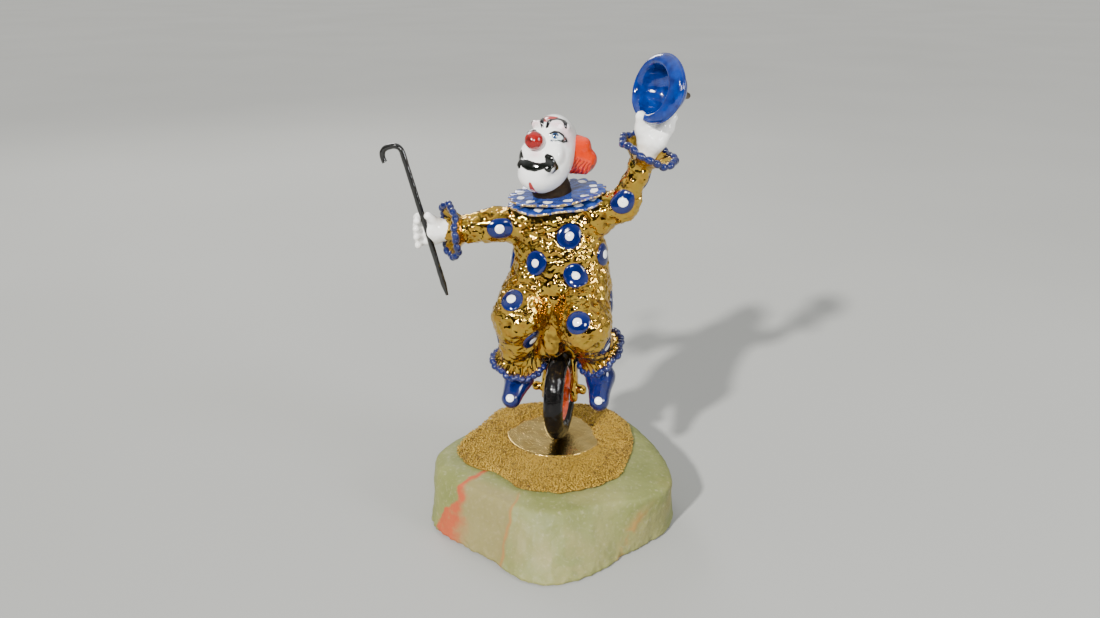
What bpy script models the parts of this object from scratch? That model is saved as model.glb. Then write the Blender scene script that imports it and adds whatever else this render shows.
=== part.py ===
"""Clown figurine: an enamelled, gold-plated clown who rides a unicycle on an onyx base.

Metres, +Z up. The origin is the centre of the base's underside. The clown rides towards -Y,
so his right hand, with the cane, is on the -X side and his left hand, with the hat, on +X.
"""

import math

import bmesh
import bpy
from mathutils import Euler, Matrix, Vector

# Clearance between separate pieces
GAP = 0.0003

# Onyx base
BASE_RADIUS = 0.056
BASE_HEIGHT = 0.029
BASE_FOOT_INSET = 0.0015
BASE_EDGE = 0.0035

# Gold disc and granules on the base
DISC_RADIUS = 0.023
DISC_THICKNESS = 0.0017
DISC_EDGE = 0.0006
DISC_CENTRE = (-0.0027, 0.014)
GRANULE_DEPTH = 0.0014

# Unicycle
WHEEL_Y = 0.010
TYRE_RADIUS = 0.0215
TYRE_SECTION = 0.0045
RIM_WALL = 0.0016
HUB_RADIUS = 0.0034
HUB_LENGTH = 0.0086
SPOKE_RADIUS = 0.0010
SPOKE_COUNT = 10
FORK_WIDTH = 0.0036
FORK_THICKNESS = 0.0022
FORK_CLEARANCE = 0.0008
SADDLE_LENGTH = 0.0220
SADDLE_WIDTH = 0.0150
SADDLE_THICKNESS = 0.0130
PEDAL_RADIUS = 0.0019
PEDAL_REACH = 0.0075
PEDAL_RISE = 0.0025

# Clown, from the seat of his trousers to his crown
FIGURE_HEIGHT = 0.100
FOLD_DEPTH = 0.0008
COLLAR_THICKNESS = 0.0022
COLLAR_RADII = (0.0215, 0.0180)
CUFF_ROLL = 0.0015

# Hat
HAT_BRIM_RADIUS = 0.0141
HAT_CROWN_RADIUS = 0.0101
HAT_DEPTH = 0.0128
HAT_BRIM_CURL = 0.0030
HAT_WALL = 0.0011
HAT_KNOB_RADIUS = 0.0017
HAT_KNOB_HEIGHT = 0.0040

# Cane
CANE_RADIUS = 0.00125
CANE_LENGTH = 0.0640
CANE_HOOK_RADIUS = 0.0046
CANE_HOOK_RISE = 0.0040

# The base's outline: direction in degrees, then foot and rim as shares of BASE_RADIUS
BASE_OUTLINE_SHARES = (
    (0, 0.97, 0.97),
    (30, 0.90, 0.87),
    (60, 0.92, 0.92),
    (90, 0.98, 0.97),
    (120, 0.92, 0.88),
    (150, 0.90, 0.87),
    (176, 1.00, 1.00),
    (205, 1.02, 0.98),
    (222, 0.97, 0.88),
    (242, 0.92, 0.76),
    (262, 0.97, 0.74),
    (286, 1.06, 0.76),
    (302, 0.96, 0.80),
    (320, 0.89, 0.84),
    (338, 0.92, 0.91),
)
# The granules' outer edge as a share of the rim in each of those directions
GRANULE_SHARES = (0.65, 0.74, 0.87, 0.92, 0.90, 0.90, 0.80, 0.73, 0.77, 0.88, 0.92, 0.91, 0.86, 0.78, 0.70)

# Levels that everything above the base stands on
DISC_TOP = BASE_HEIGHT + GAP + DISC_THICKNESS
HUB = Vector((0, WHEEL_Y, DISC_TOP + GAP + TYRE_RADIUS))
FORK_X = TYRE_SECTION + FORK_CLEARANCE + FORK_THICKNESS / 2
CROWN_Z = HUB.z + TYRE_RADIUS + FORK_CLEARANCE + FORK_THICKNESS / 2
SADDLE = Vector((0, WHEEL_Y - SADDLE_LENGTH / 10, CROWN_Z + SADDLE_THICKNESS / 2))
PEDAL_Z = HUB.z + PEDAL_RISE
SEAT = Vector((0, WHEEL_Y, CROWN_Z + FORK_THICKNESS / 2))

# The clown's pose, in hundredths of FIGURE_HEIGHT from the seat: X, Y, Z
UNIT = FIGURE_HEIGHT / 100
HEAD_CENTRE = (-5.2, -3.5, 85.6)
HEAD_TURN = Euler([math.radians(angle) for angle in (-33, 13, -15)], "XYZ")
NECK = (-1.3, -1, 68.5)
COLLAR_TILT = Euler([math.radians(angle) for angle in (13, -9, 0)], "XYZ")
SHOULDERS = ((-15, -1, 56), (15.5, -1, 61))
ELBOWS = ((-29, -3, 54), (27, -2, 66.5))
WRISTS = ((-45.5, -4.5, 51.8), (35.5, -4.5, 87.5))
HIPS = ((-11, -3, 21), (11, -3, 21))
KNEES = ((-15.3, -20, 20), (14.8, -22, 18.5))
ANKLES = ((-17, -11, -3), (19, -3, -1))
TOES = ((-17.4, -20.5, -16.8), (20.6, -18.0, -16.5))
HEELS = ((-17.5, -8, -13.5), (19.6, -1, -12.5))

# Where the hands meet the hat and the cane, in the same hundredths
HAT_CENTRE = (38.8, -11.1, 115.2)
HAT_AXIS = Vector((0.582, 0.753, -0.304)).normalized()
CANE_GRIP = (-57.5, -9.0, 55.0)
CANE_LEAN = Vector((-0.262, 0.0, 0.965)).normalized()

# The suit's body from the crotch to the neck, in the same hundredths: Y, Z, half width, half depth
BODY_ROWS = (
    (-1, 9, 9, 8),
    (-1, 13, 16, 12.5),
    (-1, 20, 20.8, 15.5),
    (-1.5, 29, 21.8, 16.5),
    (-1.5, 38, 21.3, 16),
    (-1, 47, 20.3, 14.5),
    (-1, 55, 17.5, 12),
    (-1, 62, 12, 9.5),
    (-1, 67, 7, 6.5),
)
CROTCH = (0, -15, 21)

# Paint
GOLD = (0.83, 0.60, 0.22)
BLUE = (0.02, 0.08, 0.45)
BLACK = (0.012, 0.012, 0.012)
ORANGE = (0.85, 0.13, 0.02)
ONYX = (0.66, 0.70, 0.56)


def figure_point(share):
    """A place on the clown, given in hundredths of his height from the seat."""
    return SEAT + Vector(share) * UNIT


def clear_scene():
    for obj in list(bpy.data.objects):
        bpy.data.objects.remove(obj)
    for name in ("Clown figurine", "Cutters"):
        collection = bpy.data.collections.new(name)
        bpy.context.scene.collection.children.link(collection)


def make_material(name, colour, roughness, metallic=0.0):
    material = bpy.data.materials.new(name)
    material.use_nodes = True
    shader = material.node_tree.nodes["Principled BSDF"]
    shader.inputs["Base Color"].default_value = (*colour, 1)
    shader.inputs["Roughness"].default_value = roughness
    shader.inputs["Metallic"].default_value = metallic
    return material


def add_object(name, data, material=None, helper=False):
    """Puts mesh or curve data in the scene, as a part or as a hidden helper."""
    obj = bpy.data.objects.new(name, data)
    bpy.data.collections["Cutters" if helper else "Clown figurine"].objects.link(obj)
    if material:
        data.materials.append(material)
    if helper:
        obj.hide_render = True
        obj.display_type = "WIRE"
    return obj


def mesh_from(bm, name):
    bmesh.ops.recalc_face_normals(bm, faces=bm.faces)
    mesh = bpy.data.meshes.new(name)
    bm.to_mesh(mesh)
    bm.free()
    return mesh


def mesh_of_curve(obj, name, helper=False):
    """A mesh object in place of a curve object, with its caps welded."""
    graph = bpy.context.evaluated_depsgraph_get()
    bm = bmesh.new()
    bm.from_mesh(bpy.data.meshes.new_from_object(obj.evaluated_get(graph)))
    bmesh.ops.remove_doubles(bm, verts=bm.verts, dist=0.00001)
    made = add_object(name, mesh_from(bm, name), helper=helper)
    made.matrix_world = obj.matrix_world
    bpy.data.objects.remove(obj)
    return made


def boolean(obj, operation, other):
    modifier = obj.modifiers.new(operation.title(), "BOOLEAN")
    modifier.operation = operation
    modifier.object = other
    return modifier


def smooth_shade(obj, angle=40):
    obj.data.shade_smooth()
    obj.data.set_sharp_from_angle(angle=math.radians(angle))


def turn_to(direction):
    """The rotation that takes +Z to a direction."""
    return Vector(direction).to_track_quat("Z", "Y").to_matrix().to_4x4()


def placed(centre, turn=None, size=(1, 1, 1)):
    turn = Matrix.Identity(4) if turn is None else turn.to_matrix().to_4x4() if isinstance(turn, Euler) else turn
    return Matrix.Translation(centre) @ turn @ Matrix.Diagonal((*size, 1))


def add_ball(bm, centre, radii, turn=None, segments=20):
    bmesh.ops.create_uvsphere(
        bm, u_segments=segments, v_segments=segments // 2, radius=1, matrix=placed(centre, turn, radii)
    )


def add_limb(bm, start, end, start_radius, end_radius, segments=16):
    """A tapered limb with a ball at each end."""
    along = end - start
    matrix = Matrix.Translation((start + end) / 2) @ turn_to(along)
    bmesh.ops.create_cone(
        bm, cap_ends=True, segments=segments, radius1=start_radius, radius2=end_radius, depth=along.length, matrix=matrix
    )
    add_ball(bm, start, (start_radius,) * 3, segments=segments)
    add_ball(bm, end, (end_radius,) * 3, segments=segments)


def add_ring(bm, ring_radius, section_radius, shape, matrix, steps=48, section_steps=8):
    """A closed ring about local Z, whose points are then moved by shape(angle, radial, height)."""
    start = Matrix.Translation((ring_radius, 0, 0)) @ Matrix.Rotation(math.pi / 2, 4, "X")
    made = bmesh.ops.create_circle(bm, cap_ends=False, segments=section_steps, radius=section_radius, matrix=start)
    edges = list({edge for vert in made["verts"] for edge in vert.link_edges})
    before = set(bm.verts) - set(made["verts"])
    bmesh.ops.spin(
        bm, geom=made["verts"] + edges, cent=(0, 0, 0), axis=(0, 0, 1), angle=math.tau, steps=steps, use_merge=True
    )
    for vert in set(bm.verts) - before:
        angle = math.atan2(vert.co.y, vert.co.x)
        radial = math.hypot(vert.co.x, vert.co.y)
        radial, height = shape(angle, radial, vert.co.z)
        vert.co = matrix @ Vector((radial * math.cos(angle), radial * math.sin(angle), height))


def between(table, degrees):
    """Reads a table of (degrees, value, ...) rows round the circle, smoothly."""
    degrees %= 360
    rows = list(table) + [(table[0][0] + 360, *table[0][1:])]
    for low, high in zip(rows, rows[1:]):
        if low[0] <= degrees <= high[0]:
            share = (degrees - low[0]) / (high[0] - low[0])
            share = share * share * (3 - 2 * share)
            return [a + (b - a) * share for a, b in zip(low[1:], high[1:])]
    return list(rows[0][1:])


def onyx_base(material):
    """A cylinder whose rings are moved out to the stone's rough outline."""
    segments = 48
    bm = bmesh.new()
    bmesh.ops.create_cone(
        bm, cap_ends=True, segments=segments, radius1=1, radius2=1, depth=1, matrix=Matrix.Translation((0, 0, 0.5))
    )
    uprights = [edge for edge in bm.edges if abs(edge.verts[0].co.z - edge.verts[1].co.z) > 0.5]
    bmesh.ops.subdivide_edges(bm, edges=uprights, cuts=5)
    levels = (0, BASE_EDGE, BASE_HEIGHT * 0.4, BASE_HEIGHT * 0.7, BASE_HEIGHT - BASE_EDGE, BASE_HEIGHT - BASE_EDGE / 3)
    levels += (BASE_HEIGHT,)
    for vert in bm.verts:
        level = round(vert.co.z * 6)
        angle = math.atan2(vert.co.y, vert.co.x)
        foot, rim = between(BASE_OUTLINE_SHARES, math.degrees(angle))
        height = levels[level]
        share = height / BASE_HEIGHT
        radius = BASE_RADIUS * (foot + (rim - foot) * share**1.6)
        radius += BASE_RADIUS * 0.035 * math.sin(math.pi * share)
        radius -= {0: BASE_FOOT_INSET, 5: BASE_EDGE * 0.35, 6: BASE_EDGE}.get(level, 0)
        vert.co = (radius * math.cos(angle), radius * math.sin(angle), height)
    base = add_object("onyx_base", mesh_from(bm, "onyx_base"), material)
    smooth_shade(base, 30)
    return base


def granule_bed(material):
    """The layer of gold granules round the disc: a flat outline with a round hole."""
    curve = bpy.data.curves.new("gold_granules", "CURVE")
    curve.dimensions = "2D"
    curve.fill_mode = "BOTH"
    curve.resolution_u = 4
    curve.extrude = GRANULE_DEPTH / 2 - GRANULE_DEPTH / 4
    curve.bevel_depth = GRANULE_DEPTH / 4
    curve.bevel_resolution = 0
    shares = [(row[0], row[2] * share) for row, share in zip(BASE_OUTLINE_SHARES, GRANULE_SHARES)]
    outline = []
    for step in range(44):
        angle = math.tau * step / 44
        radius = between(shares, math.degrees(angle))[0] * BASE_RADIUS - BASE_EDGE
        outline.append((radius * math.cos(angle), radius * math.sin(angle)))
    hole_radius = DISC_RADIUS + GAP + curve.bevel_depth
    hole = []
    for step in range(48):
        angle = math.tau * step / 48
        hole.append((DISC_CENTRE[0] + hole_radius * math.cos(angle), DISC_CENTRE[1] + hole_radius * math.sin(angle)))
    for points in (outline, hole):
        spline = curve.splines.new("POLY")
        spline.points.add(len(points) - 1)
        for point, (x, y) in zip(spline.points, points):
            point.co = (x, y, 0, 1)
        spline.use_cyclic_u = True
    bed = add_object("gold_granules_curve", curve)
    bed.location.z = BASE_HEIGHT + GAP + GRANULE_DEPTH / 2
    bpy.context.view_layer.update()
    bed = mesh_of_curve(bed, "gold_granules")
    bed.data.materials.append(material)
    return bed


def ground_disc(material):
    bm = bmesh.new()
    centre = (*DISC_CENTRE, DISC_TOP - DISC_THICKNESS / 2)
    bmesh.ops.create_cone(
        bm,
        cap_ends=True,
        segments=48,
        radius1=DISC_RADIUS,
        radius2=DISC_RADIUS,
        depth=DISC_THICKNESS,
        matrix=Matrix.Translation(centre),
    )
    disc = add_object("ground_disc", mesh_from(bm, "ground_disc"), material)
    bevel = disc.modifiers.new("Edge", "BEVEL")
    bevel.width = DISC_EDGE
    bevel.segments = 1
    bevel.limit_method = "ANGLE"
    smooth_shade(disc)
    return disc


def unicycle_wheel(material):
    """Tyre, rim, hub and spokes, cast as one. The axle runs along X."""
    across = Matrix.Translation(HUB) @ Matrix.Rotation(math.pi / 2, 4, "Y")
    bm = bmesh.new()
    add_ring(
        bm, TYRE_RADIUS - TYRE_SECTION, TYRE_SECTION, lambda a, r, h: (r, h), across, steps=40, section_steps=10
    )
    wheel = add_object("unicycle_wheel", mesh_from(bm, "unicycle_wheel"), material)

    inner_radius = TYRE_RADIUS - 2 * TYRE_SECTION

    def rim_shape(angle, radial, height):
        return inner_radius + (radial - inner_radius) * 0.8, height * 1.7

    bm = bmesh.new()
    add_ring(bm, inner_radius, RIM_WALL, rim_shape, across, steps=40, section_steps=6)
    rim = add_object("rim_piece", mesh_from(bm, "rim_piece"), helper=True)

    bm = bmesh.new()
    bmesh.ops.create_cone(
        bm, cap_ends=True, segments=20, radius1=HUB_RADIUS, radius2=HUB_RADIUS, depth=HUB_LENGTH, matrix=across
    )
    hub = add_object("hub_piece", mesh_from(bm, "hub_piece"), helper=True)
    boolean(wheel, "UNION", rim)
    boolean(wheel, "UNION", hub)

    for number in range(SPOKE_COUNT):
        angle = math.tau * (number + 0.5) / SPOKE_COUNT
        outward = Vector((0, math.sin(angle), math.cos(angle)))
        start = HUB + outward * HUB_RADIUS * 0.6
        end = HUB + outward * inner_radius
        bm = bmesh.new()
        bmesh.ops.create_cone(
            bm,
            cap_ends=True,
            segments=6,
            radius1=SPOKE_RADIUS * 1.2,
            radius2=SPOKE_RADIUS,
            depth=(end - start).length,
            matrix=Matrix.Translation((start + end) / 2) @ turn_to(outward),
        )
        spoke = add_object(f"spoke_piece_{number + 1}", mesh_from(bm, "spoke_piece"), helper=True)
        boolean(wheel, "UNION", spoke)
    smooth_shade(wheel)
    return wheel


def saddle_mesh(name, grow=0.0):
    """The saddle as a flattened ball, narrower at the nose."""
    bm = bmesh.new()
    radii = (SADDLE_WIDTH / 2 + grow, SADDLE_LENGTH / 2 + grow, SADDLE_THICKNESS / 2 + grow)
    add_ball(bm, (0, 0, 0), radii, segments=18)
    for vert in bm.verts:
        nose = max(0.0, -vert.co.y / radii[1])
        vert.co.x *= 1 - 0.35 * nose
        vert.co += SADDLE
    return mesh_from(bm, name)


def pedal_mesh(side, name, grow=0.0):
    """A foot peg, from the fork's foot out under the shoe."""
    start = FORK_X - FORK_THICKNESS / 2
    length = PEDAL_REACH + FORK_THICKNESS + grow
    centre = Vector((side * (start + length / 2), WHEEL_Y, PEDAL_Z))
    bm = bmesh.new()
    bmesh.ops.create_cone(
        bm,
        cap_ends=True,
        segments=16,
        radius1=PEDAL_RADIUS + grow,
        radius2=PEDAL_RADIUS + grow,
        depth=length,
        matrix=Matrix.Translation(centre) @ Matrix.Rotation(math.pi / 2, 4, "Y"),
    )
    return mesh_from(bm, name)


def fork_mesh(part, name, grow=0.0):
    """The fork's crown (part 0) or the leg on one side (part -1 or 1), as a box."""
    if part:
        low = HUB.z - FORK_WIDTH / 2
        high = CROWN_Z + FORK_THICKNESS / 4
        centre = (part * FORK_X, WHEEL_Y, (low + high) / 2)
        size = (FORK_THICKNESS, FORK_WIDTH, high - low)
    else:
        centre = (0, WHEEL_Y, CROWN_Z)
        size = (2 * FORK_X + FORK_THICKNESS, FORK_WIDTH * 1.6, FORK_THICKNESS)
    bm = bmesh.new()
    bmesh.ops.create_cube(bm, size=1, matrix=placed(centre, None, [side + 2 * grow for side in size]))
    return mesh_from(bm, name)


def unicycle_frame(material):
    """Fork, crown, saddle and foot pegs: one solid astride the wheel."""
    frame = add_object("unicycle_frame", fork_mesh(0, "unicycle_frame"), material)
    for side in (-1, 1):
        leg = add_object(f"fork_leg_piece_{side + 2}", fork_mesh(side, "fork_leg_piece"), helper=True)
        bevel = leg.modifiers.new("Edge", "BEVEL")
        bevel.width = FORK_THICKNESS * 0.3
        bevel.segments = 1
        pedal = add_object(f"pedal_piece_{side + 2}", pedal_mesh(side, "pedal_piece"), helper=True)
        boolean(frame, "UNION", leg)
        boolean(frame, "UNION", pedal)
    saddle = add_object("saddle_piece", saddle_mesh("saddle_piece"), helper=True)
    boolean(frame, "UNION", saddle)
    return frame


def cane_mesh(name, radius, helper=False):
    """A straight stick with a round hook, as one bent rod."""
    grip = figure_point(CANE_GRIP)
    hook_side = Vector((-CANE_LEAN.z, 0, CANE_LEAN.x))
    tip = grip - CANE_LEAN * CANE_LENGTH * 0.515
    bend = tip + CANE_LEAN * CANE_LENGTH
    points = [tip + CANE_LEAN * CANE_LENGTH * step / 6 for step in range(6)]
    hook_centre = bend + hook_side * CANE_HOOK_RADIUS
    for step in range(13):
        angle = math.pi * 1.12 * step / 12
        points.append(
            hook_centre
            - hook_side * CANE_HOOK_RADIUS * math.cos(angle)
            + CANE_LEAN * CANE_HOOK_RISE * math.sin(angle)
        )
    curve = bpy.data.curves.new(name, "CURVE")
    curve.dimensions = "3D"
    curve.bevel_depth = radius
    curve.bevel_resolution = 2
    curve.use_fill_caps = True
    spline = curve.splines.new("POLY")
    spline.points.add(len(points) - 1)
    for point, place in zip(spline.points, points):
        point.co = (*place, 1)
    rod = add_object(f"{name}_curve", curve)
    bpy.context.view_layer.update()
    return mesh_of_curve(rod, name, helper)


def hat_shell(name, grow=0.0, material=None):
    """The bowler's wall: a profile turned about the crown's axis, then thickened by Solidify."""
    wall = HAT_WALL / 2
    points = [(0, HAT_DEPTH - wall)]
    for step in range(1, 7):
        angle = math.radians(15 * step)
        points.append((HAT_CROWN_RADIUS * math.sin(angle), (HAT_DEPTH - wall) * math.cos(angle) ** 0.8))
    curl = HAT_BRIM_RADIUS + grow - HAT_CROWN_RADIUS
    for step in range(1, 4):
        share = step / 3
        points.append((HAT_CROWN_RADIUS + curl * share, HAT_BRIM_CURL * share**1.7))
    mesh = bpy.data.meshes.new(name)
    mesh.from_pydata([(r, 0, h) for r, h in points], [(i, i + 1) for i in range(len(points) - 1)], [])
    shell = add_object(name, mesh, material, helper=material is None)
    shell.matrix_world = placed(figure_point(HAT_CENTRE), turn_to(HAT_AXIS))
    screw = shell.modifiers.new("Turn", "SCREW")
    screw.axis = "Z"
    screw.steps = 32
    screw.render_steps = 32
    screw.use_merge_vertices = True
    screw.merge_threshold = 0.0001
    thick = shell.modifiers.new("Wall", "SOLIDIFY")
    thick.thickness = HAT_WALL + 2 * grow
    thick.offset = 0
    return shell


def hat(material):
    """A small bowler, open towards the hand, with a knob on its crown."""
    body = hat_shell("hat", material=material)
    bm = bmesh.new()
    radii = (HAT_KNOB_RADIUS, HAT_KNOB_RADIUS, HAT_KNOB_HEIGHT * 0.7)
    add_ball(bm, (0, 0, HAT_DEPTH + HAT_KNOB_HEIGHT * 0.3), radii, segments=10)
    knob = add_object("knob_piece", mesh_from(bm, "knob_piece"), helper=True)
    knob.matrix_world = body.matrix_world
    boolean(body, "UNION", knob)
    return body


def fold(point):
    """How far a fold of the suit stands out at a point: pulls that fan out from the crotch and sag lines."""
    away = point - figure_point(CROTCH)
    reach = away.length / (24 * UNIT)
    fan = math.sin(8.0 * math.atan2(away.x, away.z) + 0.9) * reach * math.exp(1 - 2 * reach)
    sag = math.sin((point.z / UNIT + 0.35 * abs(point.x) / UNIT) * 0.62 + 9 * point.y / (20 * UNIT))
    return FOLD_DEPTH * (2.0 * fan + 0.55 * sag)


def add_torso(bm):
    """The baggy suit's body: a cylinder whose rings follow BODY_ROWS, with its folds."""
    body = bmesh.new()
    bmesh.ops.create_cone(
        body, cap_ends=True, segments=64, radius1=1, radius2=1, depth=1, matrix=Matrix.Translation((0, 0, 0.5))
    )
    uprights = [edge for edge in body.edges if abs(edge.verts[0].co.z - edge.verts[1].co.z) > 0.5]
    bmesh.ops.subdivide_edges(body, edges=uprights, cuts=31)
    for vert in body.verts:
        place = vert.co.z * (len(BODY_ROWS) - 1)
        index = min(int(place), len(BODY_ROWS) - 2)
        share = place - index
        low, high = BODY_ROWS[index], BODY_ROWS[index + 1]
        y, z, width, depth = (a + (b - a) * share for a, b in zip(low, high))
        vert.co = figure_point((vert.co.x * width, y + vert.co.y * depth, z))
    bmesh.ops.recalc_face_normals(body, faces=body.faces)
    body.normal_update()
    for vert in body.verts:
        vert.co += vert.normal * fold(vert.co)
    mesh = mesh_from(body, "body")
    bm.from_mesh(mesh)
    bpy.data.meshes.remove(mesh)


def add_arm(bm, shoulder, elbow, wrist):
    add_limb(bm, shoulder, elbow, 8.8 * UNIT, 6.8 * UNIT)
    add_limb(bm, elbow, wrist, 6.6 * UNIT, 4.8 * UNIT)


def add_cuff(bm, centre, direction, inner, outer, length, turn=0.0):
    """A flared cuff whose edge is a wavy, rolled ring."""
    direction = direction.normalized()
    matrix = Matrix.Translation(centre) @ turn_to(direction)
    bmesh.ops.create_cone(
        bm,
        cap_ends=True,
        segments=24,
        radius1=inner,
        radius2=outer,
        depth=length,
        matrix=matrix @ Matrix.Translation((0, 0, -length / 2)),
    )

    def ruffle(angle, radial, height):
        wave = math.sin(9 * angle + turn)
        return radial + 0.5 * UNIT * wave, height + 0.9 * UNIT * math.sin(9 * angle + turn + math.pi / 2)

    add_ring(bm, outer, CUFF_ROLL, ruffle, matrix, steps=54)


def add_leg(bm, hip, knee, ankle):
    add_limb(bm, hip, knee, 11.6 * UNIT, 9.8 * UNIT, segments=20)
    add_limb(bm, knee, ankle, 9.8 * UNIT, 8.0 * UNIT, segments=20)
    add_ball(bm, hip.lerp(knee, 0.35) + Vector((0, 0, 5 * UNIT)), [r * UNIT for r in (11, 13, 13)])


def add_shoe(bm, ankle, heel, toe):
    """A long round-toed shoe below its trouser cuff."""
    add_limb(bm, ankle, heel, 4.6 * UNIT, 5.2 * UNIT)
    add_limb(bm, heel, toe, 5.4 * UNIT, 4.6 * UNIT)
    add_ball(bm, heel.lerp(toe, 0.55) + Vector((0, 0, 0.5 * UNIT)), [r * UNIT for r in (6.2, 7.0, 5.0)])


def add_hand(bm, palm, reach, side, fingers, thumb, finger_radius=2.0):
    """A gloved hand: palm, four fingers side by side and a thumb, all as offsets from the palm."""
    add_ball(bm, palm, [r * UNIT for r in (5.6, 4.2, 6.4)], segments=16)
    for number in range(4):
        offset = side * (number - 1.5) * 3.5 * UNIT
        start = palm + offset * 0.9
        end = palm + offset * 1.15 + reach * fingers[number]
        add_limb(bm, start, end, finger_radius * UNIT, finger_radius * 0.85 * UNIT, segments=10)
    add_limb(bm, palm, palm + thumb * UNIT, 2.3 * UNIT, 2.0 * UNIT, segments=10)


def add_collar(bm):
    """Two flat ruffles round the neck, one above the other."""
    turn = COLLAR_TILT.to_matrix().to_4x4()
    for layer, radius in enumerate(COLLAR_RADII):
        inner = 2 * UNIT
        half = (radius - inner) / 2

        def ruffle(angle, radial, height, radius=radius, half=half, layer=layer):
            edge = max(0.0, radial / radius) ** 2
            wave = math.sin(11 * angle + 2 * layer)
            flat = max(-1.0, min(1.0, height / (0.3 * half))) * COLLAR_THICKNESS / 2
            return radial + 0.6 * UNIT * wave * edge, flat + 0.6 * UNIT * wave * edge - 2.4 * UNIT * edge

        centre = figure_point(NECK) + Vector((0, 0, layer * COLLAR_THICKNESS * 0.9))
        oval = Matrix.Diagonal((1, 0.84, 1, 1))
        matrix = Matrix.Translation(centre) @ turn @ oval
        add_ring(bm, inner + half, half, ruffle, matrix, steps=66, section_steps=12)


def add_head(bm):
    """An egg-shaped head with a ball nose, full lips and swept-out tufts of hair."""
    centre = figure_point(HEAD_CENTRE)
    turn = HEAD_TURN.to_matrix().to_4x4()

    def place(x, y, z):
        return centre + HEAD_TURN.to_matrix() @ (Vector((x, y, z)) * UNIT)

    for spot, radii in (
        ((0, 0.5, 2.5), (12.2, 13.0, 12.6)),
        ((0, -1.5, -5.5), (10.4, 11.0, 11.5)),
        ((0, -6.5, -13.0), (5.0, 4.6, 4.2)),
        ((-4.6, -8.5, 3.4), (3.8, 3.4, 3.0)),
        ((4.6, -8.5, 3.4), (3.8, 3.4, 3.0)),
        ((0, -11.0, -6.5), (7.0, 3.0, 3.4)),
        ((0, -14.0, 0.0), (3.7, 3.7, 3.6)),
    ):
        add_ball(bm, place(*spot), [radius * UNIT for radius in radii], turn, segments=24)
    for side in (-1, 1):
        for spot, reach, radius in (
            ((7.0, 4.5, 8.0), (11.5, 6.0, 10.0), 4.8),
            ((8.0, 6.0, 5.0), (13.0, 9.5, 5.0), 5.6),
            ((8.0, 7.0, 1.0), (12.0, 10.0, 0.5), 5.0),
        ):
            start = place(side * spot[0], spot[1], spot[2])
            end = place(side * reach[0], reach[1], reach[2])
            add_limb(bm, start, end, radius * UNIT, radius * 0.72 * UNIT, segments=12)
    add_limb(bm, figure_point(NECK) - Vector((0, 0, 4 * UNIT)), place(0, 2, -6), 6.4 * UNIT, 6.4 * UNIT)


def clown(material, cane_room):
    """The whole figure, cast as one: its forms are merged, smoothed and thinned to fewer faces."""
    bm = bmesh.new()
    add_torso(bm)
    for shoulder, elbow, wrist in zip(SHOULDERS, ELBOWS, WRISTS):
        shoulder, elbow, wrist = figure_point(shoulder), figure_point(elbow), figure_point(wrist)
        add_arm(bm, shoulder, elbow, wrist)
        add_cuff(bm, wrist, wrist - elbow, 6.4 * UNIT, 11.8 * UNIT, 5.5 * UNIT)
    for hip, knee, ankle, heel, toe in zip(HIPS, KNEES, ANKLES, HEELS, TOES):
        hip, knee, ankle = figure_point(hip), figure_point(knee), figure_point(ankle)
        add_leg(bm, hip, knee, ankle)
        add_cuff(bm, ankle, ankle - knee, 8.0 * UNIT, 10.4 * UNIT, 5.0 * UNIT, turn=1.0)
        add_shoe(bm, ankle, figure_point(heel), figure_point(toe))
    add_collar(bm)
    add_head(bm)

    right_palm = figure_point((-53.5, -6.5, 52.5))
    add_hand(
        bm,
        right_palm,
        Vector((-9.0, -1.0, 1.2)) * UNIT,
        Vector((0.05, 0, 1)),
        (0.8, 0.95, 1.0, 0.9),
        Vector((-1.5, -4.5, 6.5)),
    )
    add_limb(bm, figure_point(WRISTS[0]), right_palm, 4.8 * UNIT, 4.6 * UNIT)

    left_palm = figure_point((39.0, -5.0, 95.5))
    add_hand(
        bm,
        left_palm,
        Vector((2.6, 5.0, 6.6)) * UNIT,
        Vector((0.85, 0.45, -0.2)),
        (0.8, 0.95, 1.0, 0.9),
        Vector((-6.0, -8.5, 7.5)),
    )
    add_limb(bm, figure_point(WRISTS[1]), left_palm, 5.2 * UNIT, 5.0 * UNIT)

    figure = add_object("clown", mesh_from(bm, "clown"), material)
    merge = figure.modifiers.new("Merge", "REMESH")
    merge.mode = "VOXEL"
    merge.voxel_size = 0.80 * UNIT
    soften = figure.modifiers.new("Soften", "SMOOTH")
    soften.factor = 0.5
    soften.iterations = 6
    thin = figure.modifiers.new("Thin", "DECIMATE")
    thin.ratio = 0.045

    rooms = [cane_room, hat_shell("hat_room", GAP)]
    rooms.append(add_object("saddle_room", saddle_mesh("saddle_room", GAP), helper=True))
    rooms.append(add_object("fork_crown_room", fork_mesh(0, "fork_crown_room", GAP), helper=True))
    for side in (-1, 1):
        rooms.append(add_object(f"fork_leg_room_{side + 2}", fork_mesh(side, "fork_leg_room", GAP), helper=True))
        rooms.append(add_object(f"pedal_room_{side + 2}", pedal_mesh(side, "pedal_room", GAP), helper=True))
    for room in rooms:
        boolean(figure, "DIFFERENCE", room)
    return figure


def main():
    clear_scene()
    gold = make_material("gold plate", GOLD, 0.22, 1.0)
    onyx_base(make_material("onyx", ONYX, 0.25))
    granule_bed(make_material("gold granules", GOLD, 0.45, 1.0))
    ground_disc(gold)
    unicycle_wheel(make_material("black enamel", BLACK, 0.3))
    unicycle_frame(gold)
    cane = cane_mesh("cane", CANE_RADIUS)
    cane.data.materials.append(make_material("black cane enamel", BLACK, 0.25))
    hat(make_material("blue enamel", BLUE, 0.12))
    clown(gold, cane_mesh("cane_room", CANE_RADIUS + GAP, helper=True))


main()
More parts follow.
